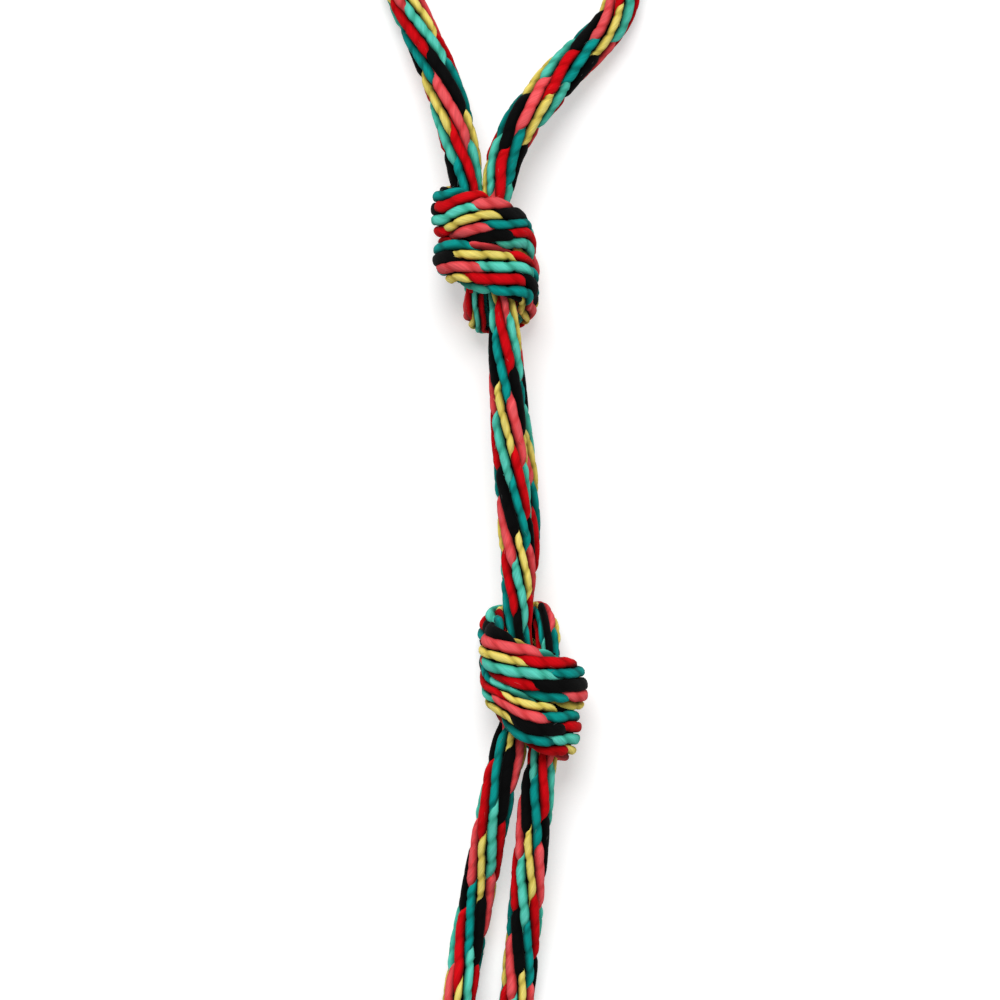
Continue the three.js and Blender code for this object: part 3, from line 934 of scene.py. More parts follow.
class MeshMaker:
    """Collects closed tubes and makes them one mesh, with a colour and fibre coordinates at each corner; the
    yarns' colours hold painted shade and painted highlights.
    """

    HAIR = 0.09 * MM
    HAIR_TAPER = 0.7
    HAIR_RINGS = 5
    HAIR_SIDES = 3
    FLOOR_BLEND = 0.3 * MM

    def __init__(self) -> None:
        """Starts with nothing."""
        self.points: list[np.ndarray] = []
        self.faces: list[np.ndarray] = []
        self.caps: list[np.ndarray] = []
        self.dyes: list[np.ndarray] = []
        self.fibres: list[np.ndarray] = []
        self.normals: list[np.ndarray] = []
        self.count = 0

    def add_tube(
        self, rings: np.ndarray, dyes: np.ndarray, fibres: np.ndarray, normals: np.ndarray | None = None
    ) -> None:
        """Adds a closed tube.

        Args:
            rings: its rings of corners, turning right-handed about the way that it runs.
            dyes: each corner's colour in linear light, with its painted shade and painted highlight in it, or
                one colour for all.
            fibres: each corner's place in the yarn.
            normals: the corners' normals where a tube is cut, and zeros elsewhere.
        """
        steps, sides = rings.shape[:2]
        ends = np.stack([rings[0].mean(0), rings[-1].mean(0)])
        ring = np.arange(sides)
        after = np.roll(ring, -1)
        base = self.count + np.arange(steps - 1)[:, None] * sides
        quads = np.stack([base + ring, base + after, base + after + sides, base + ring + sides], axis=-1)
        start = self.count + steps * sides
        last = self.count + (steps - 1) * sides
        first_cap = np.column_stack([np.full(sides, start), self.count + after, self.count + ring])
        last_cap = np.column_stack([np.full(sides, start + 1), last + ring, last + after])
        self.points.append(np.concatenate([rings.reshape(-1, 3), ends]))
        self.faces.append(quads.reshape(-1, 4))
        self.caps.append(np.concatenate([first_cap, last_cap]))
        dyes = np.broadcast_to(dyes, rings.shape)
        self.dyes.append(np.concatenate([dyes.reshape(-1, 3), dyes[0, :1], dyes[-1, :1]]))
        if normals is None:
            normals = np.zeros_like(rings)
        self.normals.append(np.concatenate([normals.reshape(-1, 3), np.zeros((2, 3))]))
        fibre_ends = np.stack([fibres[0].mean(0), fibres[-1].mean(0)])
        self.fibres.append(np.concatenate([fibres.reshape(-1, 3), fibre_ends]))
        self.count += steps * sides + 2

    def add_hair(self, root: np.ndarray, way: np.ndarray, bow: np.ndarray, colour: np.ndarray) -> None:
        """Adds a loose fibre.

        Args:
            root: where it leaves its yarn.
            way: from its root to its tip, if it were straight.
            bow: how far it bends away from that at its tip.
            colour: its colour in linear light.
        """
        share = np.linspace(0, 1, self.HAIR_RINGS)[:, None]
        middle = root + way * share + bow * share * share
        side = unit(np.cross(way, UP + 0.01))
        other = unit(np.cross(way, side))
        angle = np.arange(self.HAIR_SIDES) * 2 * math.pi / self.HAIR_SIDES
        thin = self.HAIR * (1 - self.HAIR_TAPER * share)
        around = side * np.cos(angle)[:, None] + other * np.sin(angle)[:, None]
        ring = middle[:, None] + around * thin[..., None]
        self.add_tube(ring, colour, ring)

    def build(self, name: str) -> bpy.types.Object:
        """Returns the collected tubes as one smooth object.

        Args:
            name: the object's name.
        """
        points = nudged(np.concatenate(self.points))
        points[:, 2] = 0.5 * (points[:, 2] + np.sqrt(points[:, 2] ** 2 + self.FLOOR_BLEND**2))
        mesh = bpy.data.meshes.new(name)
        sides = np.concatenate(self.faces).tolist()
        caps = np.concatenate(self.caps).tolist()
        mesh.from_pydata(points.tolist(), [], sides + caps)
        mesh.polygons.foreach_set("use_smooth", np.arange(len(sides) + len(caps)) < len(sides))
        # This colour attribute holds each yarn's colour with painted shade in its creases and on its inner
        # side, and painted highlights on its top.
        dye = mesh.attributes.new("dye", "FLOAT_COLOR", "POINT")
        colours = np.concatenate(self.dyes)
        dye.data.foreach_set("color", np.column_stack([colours, np.ones(len(colours))]).ravel())
        fibre = mesh.attributes.new("fibre", "FLOAT_VECTOR", "POINT")
        fibre.data.foreach_set("vector", np.concatenate(self.fibres).ravel())
        mesh.update()
        normals = np.concatenate(self.normals)
        if normals.any():
            mesh.normals_split_custom_set_from_vertices(normals.tolist())
        made = bpy.data.objects.new(name, mesh)
        bpy.context.scene.collection.objects.link(made)
        return made


class BraidedRope:
    """One unbroken run of braid along a line."""

    PLACES = 400
    SEED_SHIFT = 100
    CORE_STEP = 2.0 * MM
    PATH_STEP = 4.0 * MM

    def __init__(self, name: str, line: Line, lays: tuple[Lay, ...]) -> None:
        """Works out how the braid lies along the line.

        Args:
            name: a name for the log.
            line: the rope's middle and sections.
            lays: how the braid lies at places along it, in order.
        """
        self.name = name
        self.line = line
        self.lays = lays
        self.seed = sum(map(ord, name))

    def lay_at(self, distance: np.ndarray) -> tuple[np.ndarray, np.ndarray]:
        """Returns how many floats have passed, and how far right the first column is, in columns.

        Args:
            distance: distances from the line's start.
        """
        places = [lay.distance for lay in self.lays]
        phase = np.interp(distance, places, [lay.phase for lay in self.lays])
        roll = np.interp(distance, places, [lay.roll for lay in self.lays])
        count = distance / BRAID.float_length + phase
        return count, BRAID.turn_per_float * count + roll

    @staticmethod
    def axes(rows: np.ndarray) -> tuple[np.ndarray, np.ndarray]:
        """Returns the directions of each section's wide and thin sides.

        Args:
            rows: the line's channels.
        """
        tangent, first = rows[:, 3:6], rows[:, 6:9]
        cosine, sine = np.cos(rows[:, 11])[:, None], np.sin(rows[:, 11])[:, None]
        second = np.cross(tangent, first)
        return first * cosine + second * sine, second * cosine - first * sine

    def surface(self, rows: np.ndarray, rightward: np.ndarray) -> tuple[np.ndarray, np.ndarray, np.ndarray]:
        """Returns points on the yarns' own layer, with the directions out of it.

        Args:
            rows: the line's channels.
            rightward: the place round the rope, in columns, to the right as seen from outside.

        Returns:
            The points, the outward directions and the width that one column has there.
        """
        wide, thin = self.axes(rows)
        half_wide, half_thin, turn = rows[:, 9], rows[:, 10], rows[:, 11]
        long, short = half_wide - BRAID.sink, np.minimum(half_thin, half_wide) - BRAID.sink
        share = -rightward / BRAID.columns - turn / (2 * math.pi)
        angle = EVEN.angle(share, short / long)
        cosine, sine = np.cos(angle)[:, None], np.sin(angle)[:, None]
        point = rows[:, :3] + long[:, None] * cosine * wide + short[:, None] * sine * thin
        out = unit(cosine * wide / long[:, None] + sine * thin / short[:, None])
        way_round = math.pi * (3 * (long + short) - np.sqrt((3 * long + short) * (long + 3 * short)))
        return point, out, way_round / BRAID.columns

    def distance_of(self, count: np.ndarray) -> np.ndarray:
        """Returns where along the line so many floats have passed."""
        places = np.linspace(0, self.line.length, self.PLACES)
        return np.interp(count, self.lay_at(places)[0], places)

    def span(self, first: float) -> np.ndarray:
        """Returns where along the line a float begins and ends.

        Args:
            first: the count of floats at its start, without its overrun.
        """
        passed = self.lay_at(np.array([0.0, self.line.length]))[0]
        ends = np.array([first - BRAID.overrun, first + 1 + BRAID.overrun])
        return self.distance_of(np.clip(ends, passed[0], passed[1]))

    def trail(
        self, column: int, first: float, distance: np.ndarray
    ) -> tuple[YarnPlace, np.ndarray, np.ndarray, np.ndarray]:
        """Returns how a float runs: up between its neighbours, along the rope and under again.

        Args:
            column: the float's column.
            first: the count of floats at its start, without its overrun.
            distance: the float's places along the line.

        Returns:
            Where its yarn runs, the width of a column there, how narrow the yarn is and how flat the rope is.
        """
        passed, right = self.lay_at(distance)
        from_start = passed - (first - BRAID.overrun)
        to_end = first + 1 + BRAID.overrun - passed
        begin, end = 1 - smooth(from_start / BRAID.tip_share), 1 - smooth(to_end / BRAID.tip_share)
        aside = BRAID.tip_side * (begin - end)
        risen, staying = smooth(from_start / BRAID.dive_share), smooth(to_end / BRAID.dive_share)
        rows = self.line.sample(distance)
        point, out, pitch = self.surface(rows, right + column + aside)
        point = point - out * (BRAID.dive * np.clip(2 - risen - staying, 0, 1))[:, None]
        run = unit(np.gradient(point, axis=0))
        out = unit(out - (out * run).sum(1)[:, None] * run)
        narrow = BRAID.tip_width + (1 - BRAID.tip_width) * (risen * staying)
        return YarnPlace(point, distance, run, out), pitch, narrow, rows[:, 12]

    @staticmethod
    def cut_normals(rings: np.ndarray, kept: slice) -> np.ndarray:
        """Returns a float's normals where it is cut, so that both pieces shade alike, and zeros elsewhere.

        Args:
            rings: the whole float's rings.
            kept: the rings that the piece keeps.
        """
        normals = np.zeros_like(rings)
        around = np.roll(rings, -1, axis=1) - np.roll(rings, 1, axis=1)
        facing = unit(np.cross(around, np.gradient(rings, axis=0)))
        for end in (kept.start, kept.stop - 1):
            if 0 < end < len(rings) - 1:
                normals[end] = facing[end]
        return normals[kept]

    def add_float(self, maker: MeshMaker, column: int, count: int, stretch: tuple[float, float]) -> bool:
        """Adds one float of a column, or the part of it that lies in a stretch.

        Args:
            maker: takes the mesh.
            column: the float's column.
            count: which float of the column it is.
            stretch: where the stretch begins and ends along the line.

        Returns:
            Whether any of the float lies there.
        """
        first = BRAID.start(column) + count
        start, stop = self.span(first)
        if stop - start < BRAID.least_float:
            return False
        steps = max(int(math.ceil((stop - start) / BRAID.ring_step)), BRAID.least_steps)
        distance = np.linspace(start, stop, steps + 1)
        cut = np.rint((np.array(stretch) - start) / (distance[1] - distance[0])).astype(int)
        kept = slice(max(int(cut[0]), 0), min(int(cut[1]), steps) + 1)
        if kept.stop - kept.start < 2:
            return False
        chance = np.random.default_rng((self.seed, column, count + self.SEED_SHIFT))
        dye = BRAID.dye(column, count)
        place, pitch, narrow, flat = self.trail(column, first, distance)
        sizes = (1 - BRAID.uneven, 1 + BRAID.uneven)
        half = 0.5 * pitch * BRAID.fill * dye.width * narrow * chance.uniform(*sizes)
        high = BRAID.bulge * narrow * chance.uniform(*sizes)
        depth = dye.crease * (BRAID.free_crease + (BRAID.wrap_crease - BRAID.free_crease) * flat)
        rings, light, fibre = YARN.rings(place, half, high, depth, chance.uniform(0, 2 * math.pi))
        colour = dye.linear() * chance.uniform(*BRAID.shades)
        # Painted highlight: where the painted light is fullest, on the top of each float, the faint channels
        # of the colour are lifted.
        ridge = smooth((light - BRAID.rubbed_from) / (1 - BRAID.rubbed_from))[..., None]
        dyes = colour * light[..., None] + BRAID.rubbed * ridge * colour * (1 - colour) ** 2
        maker.add_tube(rings[kept], dyes[kept], fibre[kept], self.cut_normals(rings, kept))
        side = place.side
        for _ in range(chance.poisson(BRAID.hairs * dye.crease)):
            ring = int(chance.integers(kept.start, kept.stop))
            corner = int(chance.integers(-BRAID.hair_corner, BRAID.hair_corner + 1))
            length = BRAID.hair_length * chance.uniform(*BRAID.hair_shares)
            slant = side[ring] * chance.normal(BRAID.hair_slant, BRAID.hair_slant_spread)
            along, out = place.run[ring] * chance.choice((-1, 1)), place.out[ring]
            way = unit(along + slant + out * chance.uniform(0.0, BRAID.hair_lift))
            pale = colour + (BRAID.hair_pale - colour) * chance.uniform(*BRAID.hair_pale_shares)
            maker.add_hair(rings[ring, corner], way * length, -out * BRAID.hair_bow * length, pale)
        return True

    def add_core(self, maker: MeshMaker, start: float, stop: float) -> None:
        """Adds the core inside the braid, coloured black as painted shade that shows in the gaps between the
        floats.

        Args:
            maker: takes the mesh.
            start: where it begins along the line.
            stop: where it ends.
        """
        distance = np.linspace(start, stop, max(int((stop - start) / self.CORE_STEP), 3))
        rows = self.line.sample(distance)
        wide, thin = self.axes(rows)
        half = np.maximum(rows[:, 9:11] - BRAID.core_sink, BRAID.core_least)
        angle = np.arange(BRAID.core_sides) / BRAID.core_sides * 2 * math.pi
        ring = rows[:, None, :3] + wide[:, None] * (half[:, :1] * np.cos(angle))[..., None]
        ring = ring + thin[:, None] * (half[:, 1:] * np.sin(angle))[..., None]
        along = np.broadcast_to(distance[:, None, None], ring[..., :1].shape)
        # Painted shade: the core is black so that the gaps between the floats look dark.
        maker.add_tube(ring, Dye.BLACK.linear(), np.concatenate([ring[..., :2], along], -1))

    def build(self, name: str, start: float, stop: float) -> bpy.types.Object:
        """Makes one piece of the rope, between two places along it.

        Args:
            name: the piece's name.
            start: where the stretch begins along the line.
            stop: where it ends.

        Returns:
            The piece.
        """
        maker = MeshMaker()
        passed = self.lay_at(np.array([0.0, self.line.length]))[0]
        floats = 0
        for column in range(BRAID.columns):
            first = math.floor(passed[0] - BRAID.start(column)) - 1
            last = math.ceil(passed[1] - BRAID.start(column)) + 1
            for count in range(first, last):
                floats += self.add_float(maker, column, count, (start, stop))
        self.add_core(maker, start, min(stop, self.line.length))
        made = maker.build(name)
        log.info("%s: %d floats, %d faces", name, floats, len(made.data.polygons))
        return made

    def path(self, start: float, stop: float) -> list[list[float]]:
        """Returns points along the rope's middle, close enough to have its length."""
        distance = np.linspace(start, stop, max(int((stop - start) / self.PATH_STEP), 4))
        return nudged(self.line.sample(distance)[:, :3]).tolist()


@dataclass(frozen=True)
class BodyBend:
    """Where a piece passes from one body of the frame to the next."""

    joint: str
    before: str
    after: str
    down: float

    def apply(self, piece: bpy.types.Object, reach: tuple[float, float]) -> None:
        """Works out where a bend across the joint would start and end, and bakes the piece's placement into
        its mesh; the piece is not bent.

        Args:
            piece: the finished piece.
            reach: how far before and after the joint a bend would start and end.
        """
        middle = joint_at(self.joint)
        along = leaning(self.down, -1)
        start, end = middle - along * reach[0], middle + along * reach[1]
        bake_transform(piece)


@dataclass
class BigKnot:
    """One of the two knots tied in the doubled rope."""

    place: Place
    arms: tuple[Exit, Exit]
    middles: tuple[Exit, Exit]
    seam_shares: tuple[float, float] = (0.1, -0.6)
    spare: int = 3
    ropes: list[KnottedRope] = field(init=False)

    def __post_init__(self) -> None:
        """Ties the knot."""
        first = KnottedRope(UPPER_ROW_SHARES, self.arms[0], self.middles[0])
        second = KnottedRope(LOWER_ROW_SHARES, self.arms[1], self.middles[1])
        self.ropes = Knot([first, second], KNOT.height).ropes

    def seam(self, rope: int) -> int:
        """Returns the point, hidden in the knot, where one braid ends and the next begins."""
        below = self.ropes[rope].at[:, 1] < self.seam_shares[rope] * ROPE.diameter
        return int(np.argmax(below))

    def arm(self, rope: int) -> Course:
        """Returns a rope's run from the knot's core out to its arm."""
        course = Course.knotted(self.ropes[rope], self.place)
        return course.cut(slice(self.seam(rope) + self.spare)).turned_round()

    def turns(self, rope: int) -> Course:
        """Returns a rope's run from the knot's core, round the knot and out to the middle."""
        return Course.knotted(self.ropes[rope], self.place).cut(slice(self.seam(rope) - self.spare, None))

    def exit_point(self, way: Exit) -> np.ndarray:
        """Returns where a rope leaves the knot."""
        return self.place.placed(way.point())


@dataclass
class Layout:
    """Where everything lies: the knots, and the toy's shift from the upper knot's own frame."""

    middle_length: float = 82.0 * MM
    middle_lean: float = 2.8
    lower_turn: float = 172.0
    upper: BigKnot = field(init=False)
    lower: BigKnot = field(init=False)
    shift: np.ndarray = field(init=False)

    def __post_init__(self) -> None:
        """Places the two knots, the lower one below the middle."""
        way = BigKnotExit
        base = Place(np.array([0.0, 0.0, KNOT.height]))
        front = base.placed(way.UPPER_FRONT.value.point())
        self.shift = joint_at("middle_bend_top") - front
        arms = (way.UPPER_LEFT.value, way.UPPER_RIGHT.value)
        middles = (way.UPPER_FRONT.value, way.UPPER_BACK.value)
        self.upper = BigKnot(Place(base.middle + self.shift), arms, middles)
        foot = front + self.shift + self.middle_length * leaning(self.middle_lean, -1)
        turned = Place(np.zeros(3), self.lower_turn)
        centre = foot - turned.placed(way.LOWER_FRONT.value.point())
        centre[2] = KNOT.height
        arms = (way.LOWER_RIGHT.value, way.LOWER_LEFT.value)
        middles = (way.LOWER_FRONT.value, way.LOWER_BACK.value)
        self.lower = BigKnot(Place(centre, self.lower_turn), arms, middles)


FREE_STEP = 2.0 * MM
SWELL = 0.32 * MM


@dataclass
class HandleLoop:
    """The rope's fold: the loop that a hand or a mouth holds."""

    layout: Layout
    length: float = 108.5 * MM
    width: float = 85.0 * MM
    lays: tuple[Lay, ...] = (
        Lay(38 * MM, -0.25, 2.6), Lay(118 * MM, 0.4, 3.8), Lay(287 * MM, 0.7, 8.8), Lay(357 * MM, 0.55, 10.7),
    )
    bend: BodyBend = BodyBend("handle_fold", "upper_knot", "handle", 180.0)
    bend_reach: tuple[float, float] = (7 * MM, 15 * MM)

    def line(self) -> Line:
        """Returns the rope's line, from the knot's core up the right leg and down the left one."""
        upper = self.layout.upper
        left = upper.exit_point(BigKnotExit.UPPER_LEFT.value)
        right = upper.exit_point(BigKnotExit.UPPER_RIGHT.value)
        drop = left[2] - ROPE.lying
        rows = []
        for across, up, height in HANDLE_SHARES:
            x = self.layout.shift[0] + across * self.width
            rows.append((x, left[1] + up * self.length, ROPE.lying + height * drop))
        route = HandCurve(np.vstack([left, rows, right])).spaced(FREE_STEP)
        loop = Course.free(route[::-1])
        return Line(Course.joined(upper.arm(1), loop, upper.arm(0).turned_round()), SWELL)

    def rope(self) -> BraidedRope:
        """Returns the braid along the handle."""
        return BraidedRope("handle", self.line(), self.lays)

    def build(self) -> list[bpy.types.Object]:
        """Makes the handle's rope and returns it."""
        rope = self.rope()
        piece = rope.build("handle_rope", 0.0, rope.line.length)
        self.bend.apply(piece, self.bend_reach)
        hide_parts("handle_loop", "upper_knot_left_rope", "upper_knot_right_rope")
        declare_rope(piece, rope, 0.0, rope.line.length)
        return [piece]


def declare_rope(
    piece: bpy.types.Object, rope: BraidedRope, start: float, stop: float, **more: object
) -> None:
    """Works out points along the middle of a piece's stretch of free rope, and does nothing with them.

    Args:
        piece: the finished piece; not used.
        rope: the braid that it is cut from.
        start: where it begins along the rope.
        stop: where it ends.
        more: what is on its far end, if it isn't another stretch of rope; not used.
    """
    path = rope.path(start, stop)


@dataclass
class MiddleRopes:
    """The two ropes between the knots, one behind the other, with their turns in both knots."""

    layout: Layout
    front_lays: tuple[Lay, ...] = (
        Lay(63 * MM, -0.15, -0.7), Lay(96 * MM, 0.05, 2.1), Lay(165 * MM, -0.15, 2.4),
        Lay(283 * MM, -0.25, 5.5), Lay(352 * MM, -0.05, 5.2), Lay(386 * MM, 0.25, 6.7),
        Lay(402 * MM, 0.25, 6.7), Lay(449 * MM, -0.8, 6.7),
    )
    back_lays: tuple[Lay, ...] = (
        Lay(63 * MM, -0.3, 1.6), Lay(105 * MM, -0.45, 4.2), Lay(335 * MM, 0.05, 11.2),
        Lay(370 * MM, 0.35, 11.9), Lay(396 * MM, 0.35, 11.9), Lay(443 * MM, -0.7, 10.4),
    )
    top: BodyBend = BodyBend("middle_bend_top", "upper_knot", "middle", 2.8)
    bottom: BodyBend = BodyBend("middle_bend_bottom", "middle", "lower_knot", 2.8)
    top_reach: tuple[float, float] = (5 * MM, 16 * MM)
    bottom_reach: tuple[float, float] = (16 * MM, 5 * MM)

    def free_run(self, way: BigKnotExit, bow_shares: tuple) -> Course:
        """Returns one rope's free run between the knots.

        Args:
            way: how it leaves the upper knot.
            bow_shares: its route, as shares of the middle's length and of the rope's diameter.
        """
        start = self.layout.upper.exit_point(way.value)
        down = leaning(self.layout.middle_lean, -1)
        left = left_of(down)
        length = self.layout.middle_length
        rows = [
            start + down * along * length + (left * aside + UP * rise) * ROPE.diameter
            for along, aside, rise in bow_shares
        ]
        return Course.free(HandCurve(rows).spaced(FREE_STEP))

    def line(self, rope: int) -> Line:
        """Returns a rope's line from the upper knot's core to the lower knot's core."""
        ways = (BigKnotExit.UPPER_FRONT, BigKnotExit.UPPER_BACK)
        bows = (FRONT_BOW_SHARES, BACK_BOW_SHARES)
        free = self.free_run(ways[rope], bows[rope])
        upper, lower = self.layout.upper.turns(rope), self.layout.lower.turns(rope)
        whole = Course.joined(upper, free, lower.turned_round())
        return Line(whole if rope == 0 else whole.turned_round(), SWELL)

    def rope(self, rope: int) -> BraidedRope:
        """Returns the braid along a rope: 0 is the front one and 1 the back one."""
        lays = (self.front_lays, self.back_lays)[rope]
        return BraidedRope(("front", "back")[rope], self.line(rope), lays)

    def build(self) -> list[bpy.types.Object]:
        """Makes the four pieces, two for each rope, and returns them."""
        pieces = []
        knot_nodes = (
            ("upper_knot_left_rope", "lower_knot_right_rope"),
            ("upper_knot_right_rope", "lower_knot_left_rope"),
        )
        for index, name in enumerate(("front", "back")):
            rope = self.rope(index)
            whole = rope.line.length
            halves = [(0.0, whole / 2), (whole / 2, whole)]
            if index == 1:
                halves.reverse()
            for place, (start, stop) in enumerate(halves):
                piece = rope.build(f"{name}_rope_{('upper', 'lower')[place]}", start, stop)
                bend, reach = ((self.top, self.top_reach), (self.bottom, self.bottom_reach))[place]
                bend.apply(piece, reach)
                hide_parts(knot_nodes[index][place], f"middle_{name}_rope")
                declare_rope(piece, rope, start, stop)
                pieces.append(piece)
        return pieces


@dataclass
class Tail:
    """One free end of the rope, from the lower knot's core to its stopper knot."""

    layout: Layout
    side: Side
    length: float
    lean: float
    lays: tuple[Lay, ...]
    lift_reach: tuple[float, float] = (4 * MM, 14 * MM)
    swing_reach: tuple[float, float] = (10 * MM, 12 * MM)
    seam_share: float = 0.62
    neck_reach: tuple[float, float] = (3 * MM, 9 * MM)
    lead: float = 6.0 * MM
    into_fringe: float = 4.0 * MM

    def __post_init__(self) -> None:
        """Finds which rope of the lower knot this tail belongs to."""
        left = self.side is Side.LEFT
        self.rope_index = 1 if left else 0
        self.exit = (BigKnotExit.LOWER_LEFT if left else BigKnotExit.LOWER_RIGHT).value
        self.down = leaning(-self.lean, -1)
        self.start = self.layout.lower.exit_point(self.exit)
        self.face = self.start + self.down * self.length
        self.face[2] = KNOT.end_height
        self.stopper = self.stopper_place()
        self.neck = self.stopper.placed(FRINGE_EXIT.point())

    def stopper_place(self) -> Place:
        """Returns where the stopper knot stands, below the face that the tail comes to."""
        entry = TAIL_EXIT.point()
        entry[1] -= ROPE.stub
        turned = Place(np.zeros(3), -self.lean)
        centre = self.face - turned.placed(entry)
        centre[2] = KNOT.end_height
        return Place(centre, -self.lean)

    def line(self) -> Line:
        """Returns the rope's line: downwards on the right tail, upwards on the left one."""
        lower = self.layout.lower
        drop = KNOT.height + self.exit.at_share[2] * ROPE.diameter - ROPE.lying
        out = leaning(lower.place.degrees - 180 - self.exit.lean, -1)
        rows = [self.start, self.start + self.lead * out]
        for along, aside, height in TAIL_SHARES:
            row = self.start + self.down * along * self.length + left_of(self.down) * aside * ROPE.diameter
            row[2] = ROPE.lying + height * drop
            rows.append(row)
        rows.append(self.face - self.down * (ROPE.joint_gap + self.lead))
        rows.append(self.face - self.down * ROPE.joint_gap)
        free = Course.free(HandCurve(rows).spaced(FREE_STEP)[:-1])
        knot = Course.knotted(stopper_rope(), self.stopper)
        end = Course.free(self.neck + self.down * np.array([[0.0], [self.into_fringe]]))
        whole = Course.joined(lower.arm(self.rope_index), free, knot, end)
        return Line(whole.turned_round() if self.side is Side.LEFT else whole, SWELL)

    def rope(self) -> BraidedRope:
        """Returns the braid along the tail."""
        return BraidedRope(f"{self.side.value}_tail", self.line(), self.lays)

    def build(self) -> list[bpy.types.Object]:
        """Makes the tail's two pieces and its frayed end, and returns them."""
        side = self.side.value
        rope = self.rope()
        whole = rope.line.length
        lift, swing = joint_at(f"{side}_tail_lift"), joint_at(f"{side}_tail_swing")
        seam = self.nearest(rope.line, lift + (swing - lift) * self.seam_share)
        upper, lower = (0.0, seam), (seam, whole)
        if self.side is Side.LEFT:
            upper, lower = (seam, whole), (0.0, seam)
        top = rope.build(f"{side}_tail_rope_upper", *upper)
        BodyBend(f"{side}_tail_lift", "lower_knot", f"{side}_tail", -self.lean).apply(top, self.lift_reach)
        knot_node = ("lower_knot_right_rope", "lower_knot_left_rope")[self.rope_index]
        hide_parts(knot_node, f"{side}_tail_top")
        declare_rope(top, rope, *upper)
        foot = rope.build(f"{side}_tail_rope_lower", *lower)
        bend = BodyBend(f"{side}_tail_swing", f"{side}_tail", f"{side}_end", -self.lean)
        bend.apply(foot, self.swing_reach)
        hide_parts(f"{side}_tail_bottom", f"{side}_end_knot")
        frayed = FrayedEnd(self.neck, self.lean, self.side).build()
        bend = BodyBend(f"{side}_fringe_fold", f"{side}_end", f"{side}_frayed_end", -self.lean)
        bend.apply(frayed, self.neck_reach)
        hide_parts(f"{side}_fringe")
        declare_rope(foot, rope, *lower, far_end="bare", with_pieces=[frayed])
        return [top, foot, frayed]

    @staticmethod
    def nearest(line: Line, point: np.ndarray) -> float:
        """Returns how far along a line it passes a point."""
        return float(np.argmin(np.linalg.norm(line.at - point, axis=1)) * line.step)


@cache
def stopper_rope() -> KnottedRope:
    """Returns the settled rope of a stopper knot, in the knot's own frame."""
    rope = KnottedRope(END_KNOT_SHARES, TAIL_EXIT, FRINGE_EXIT)
    return Knot([rope], KNOT.end_height).ropes[0]


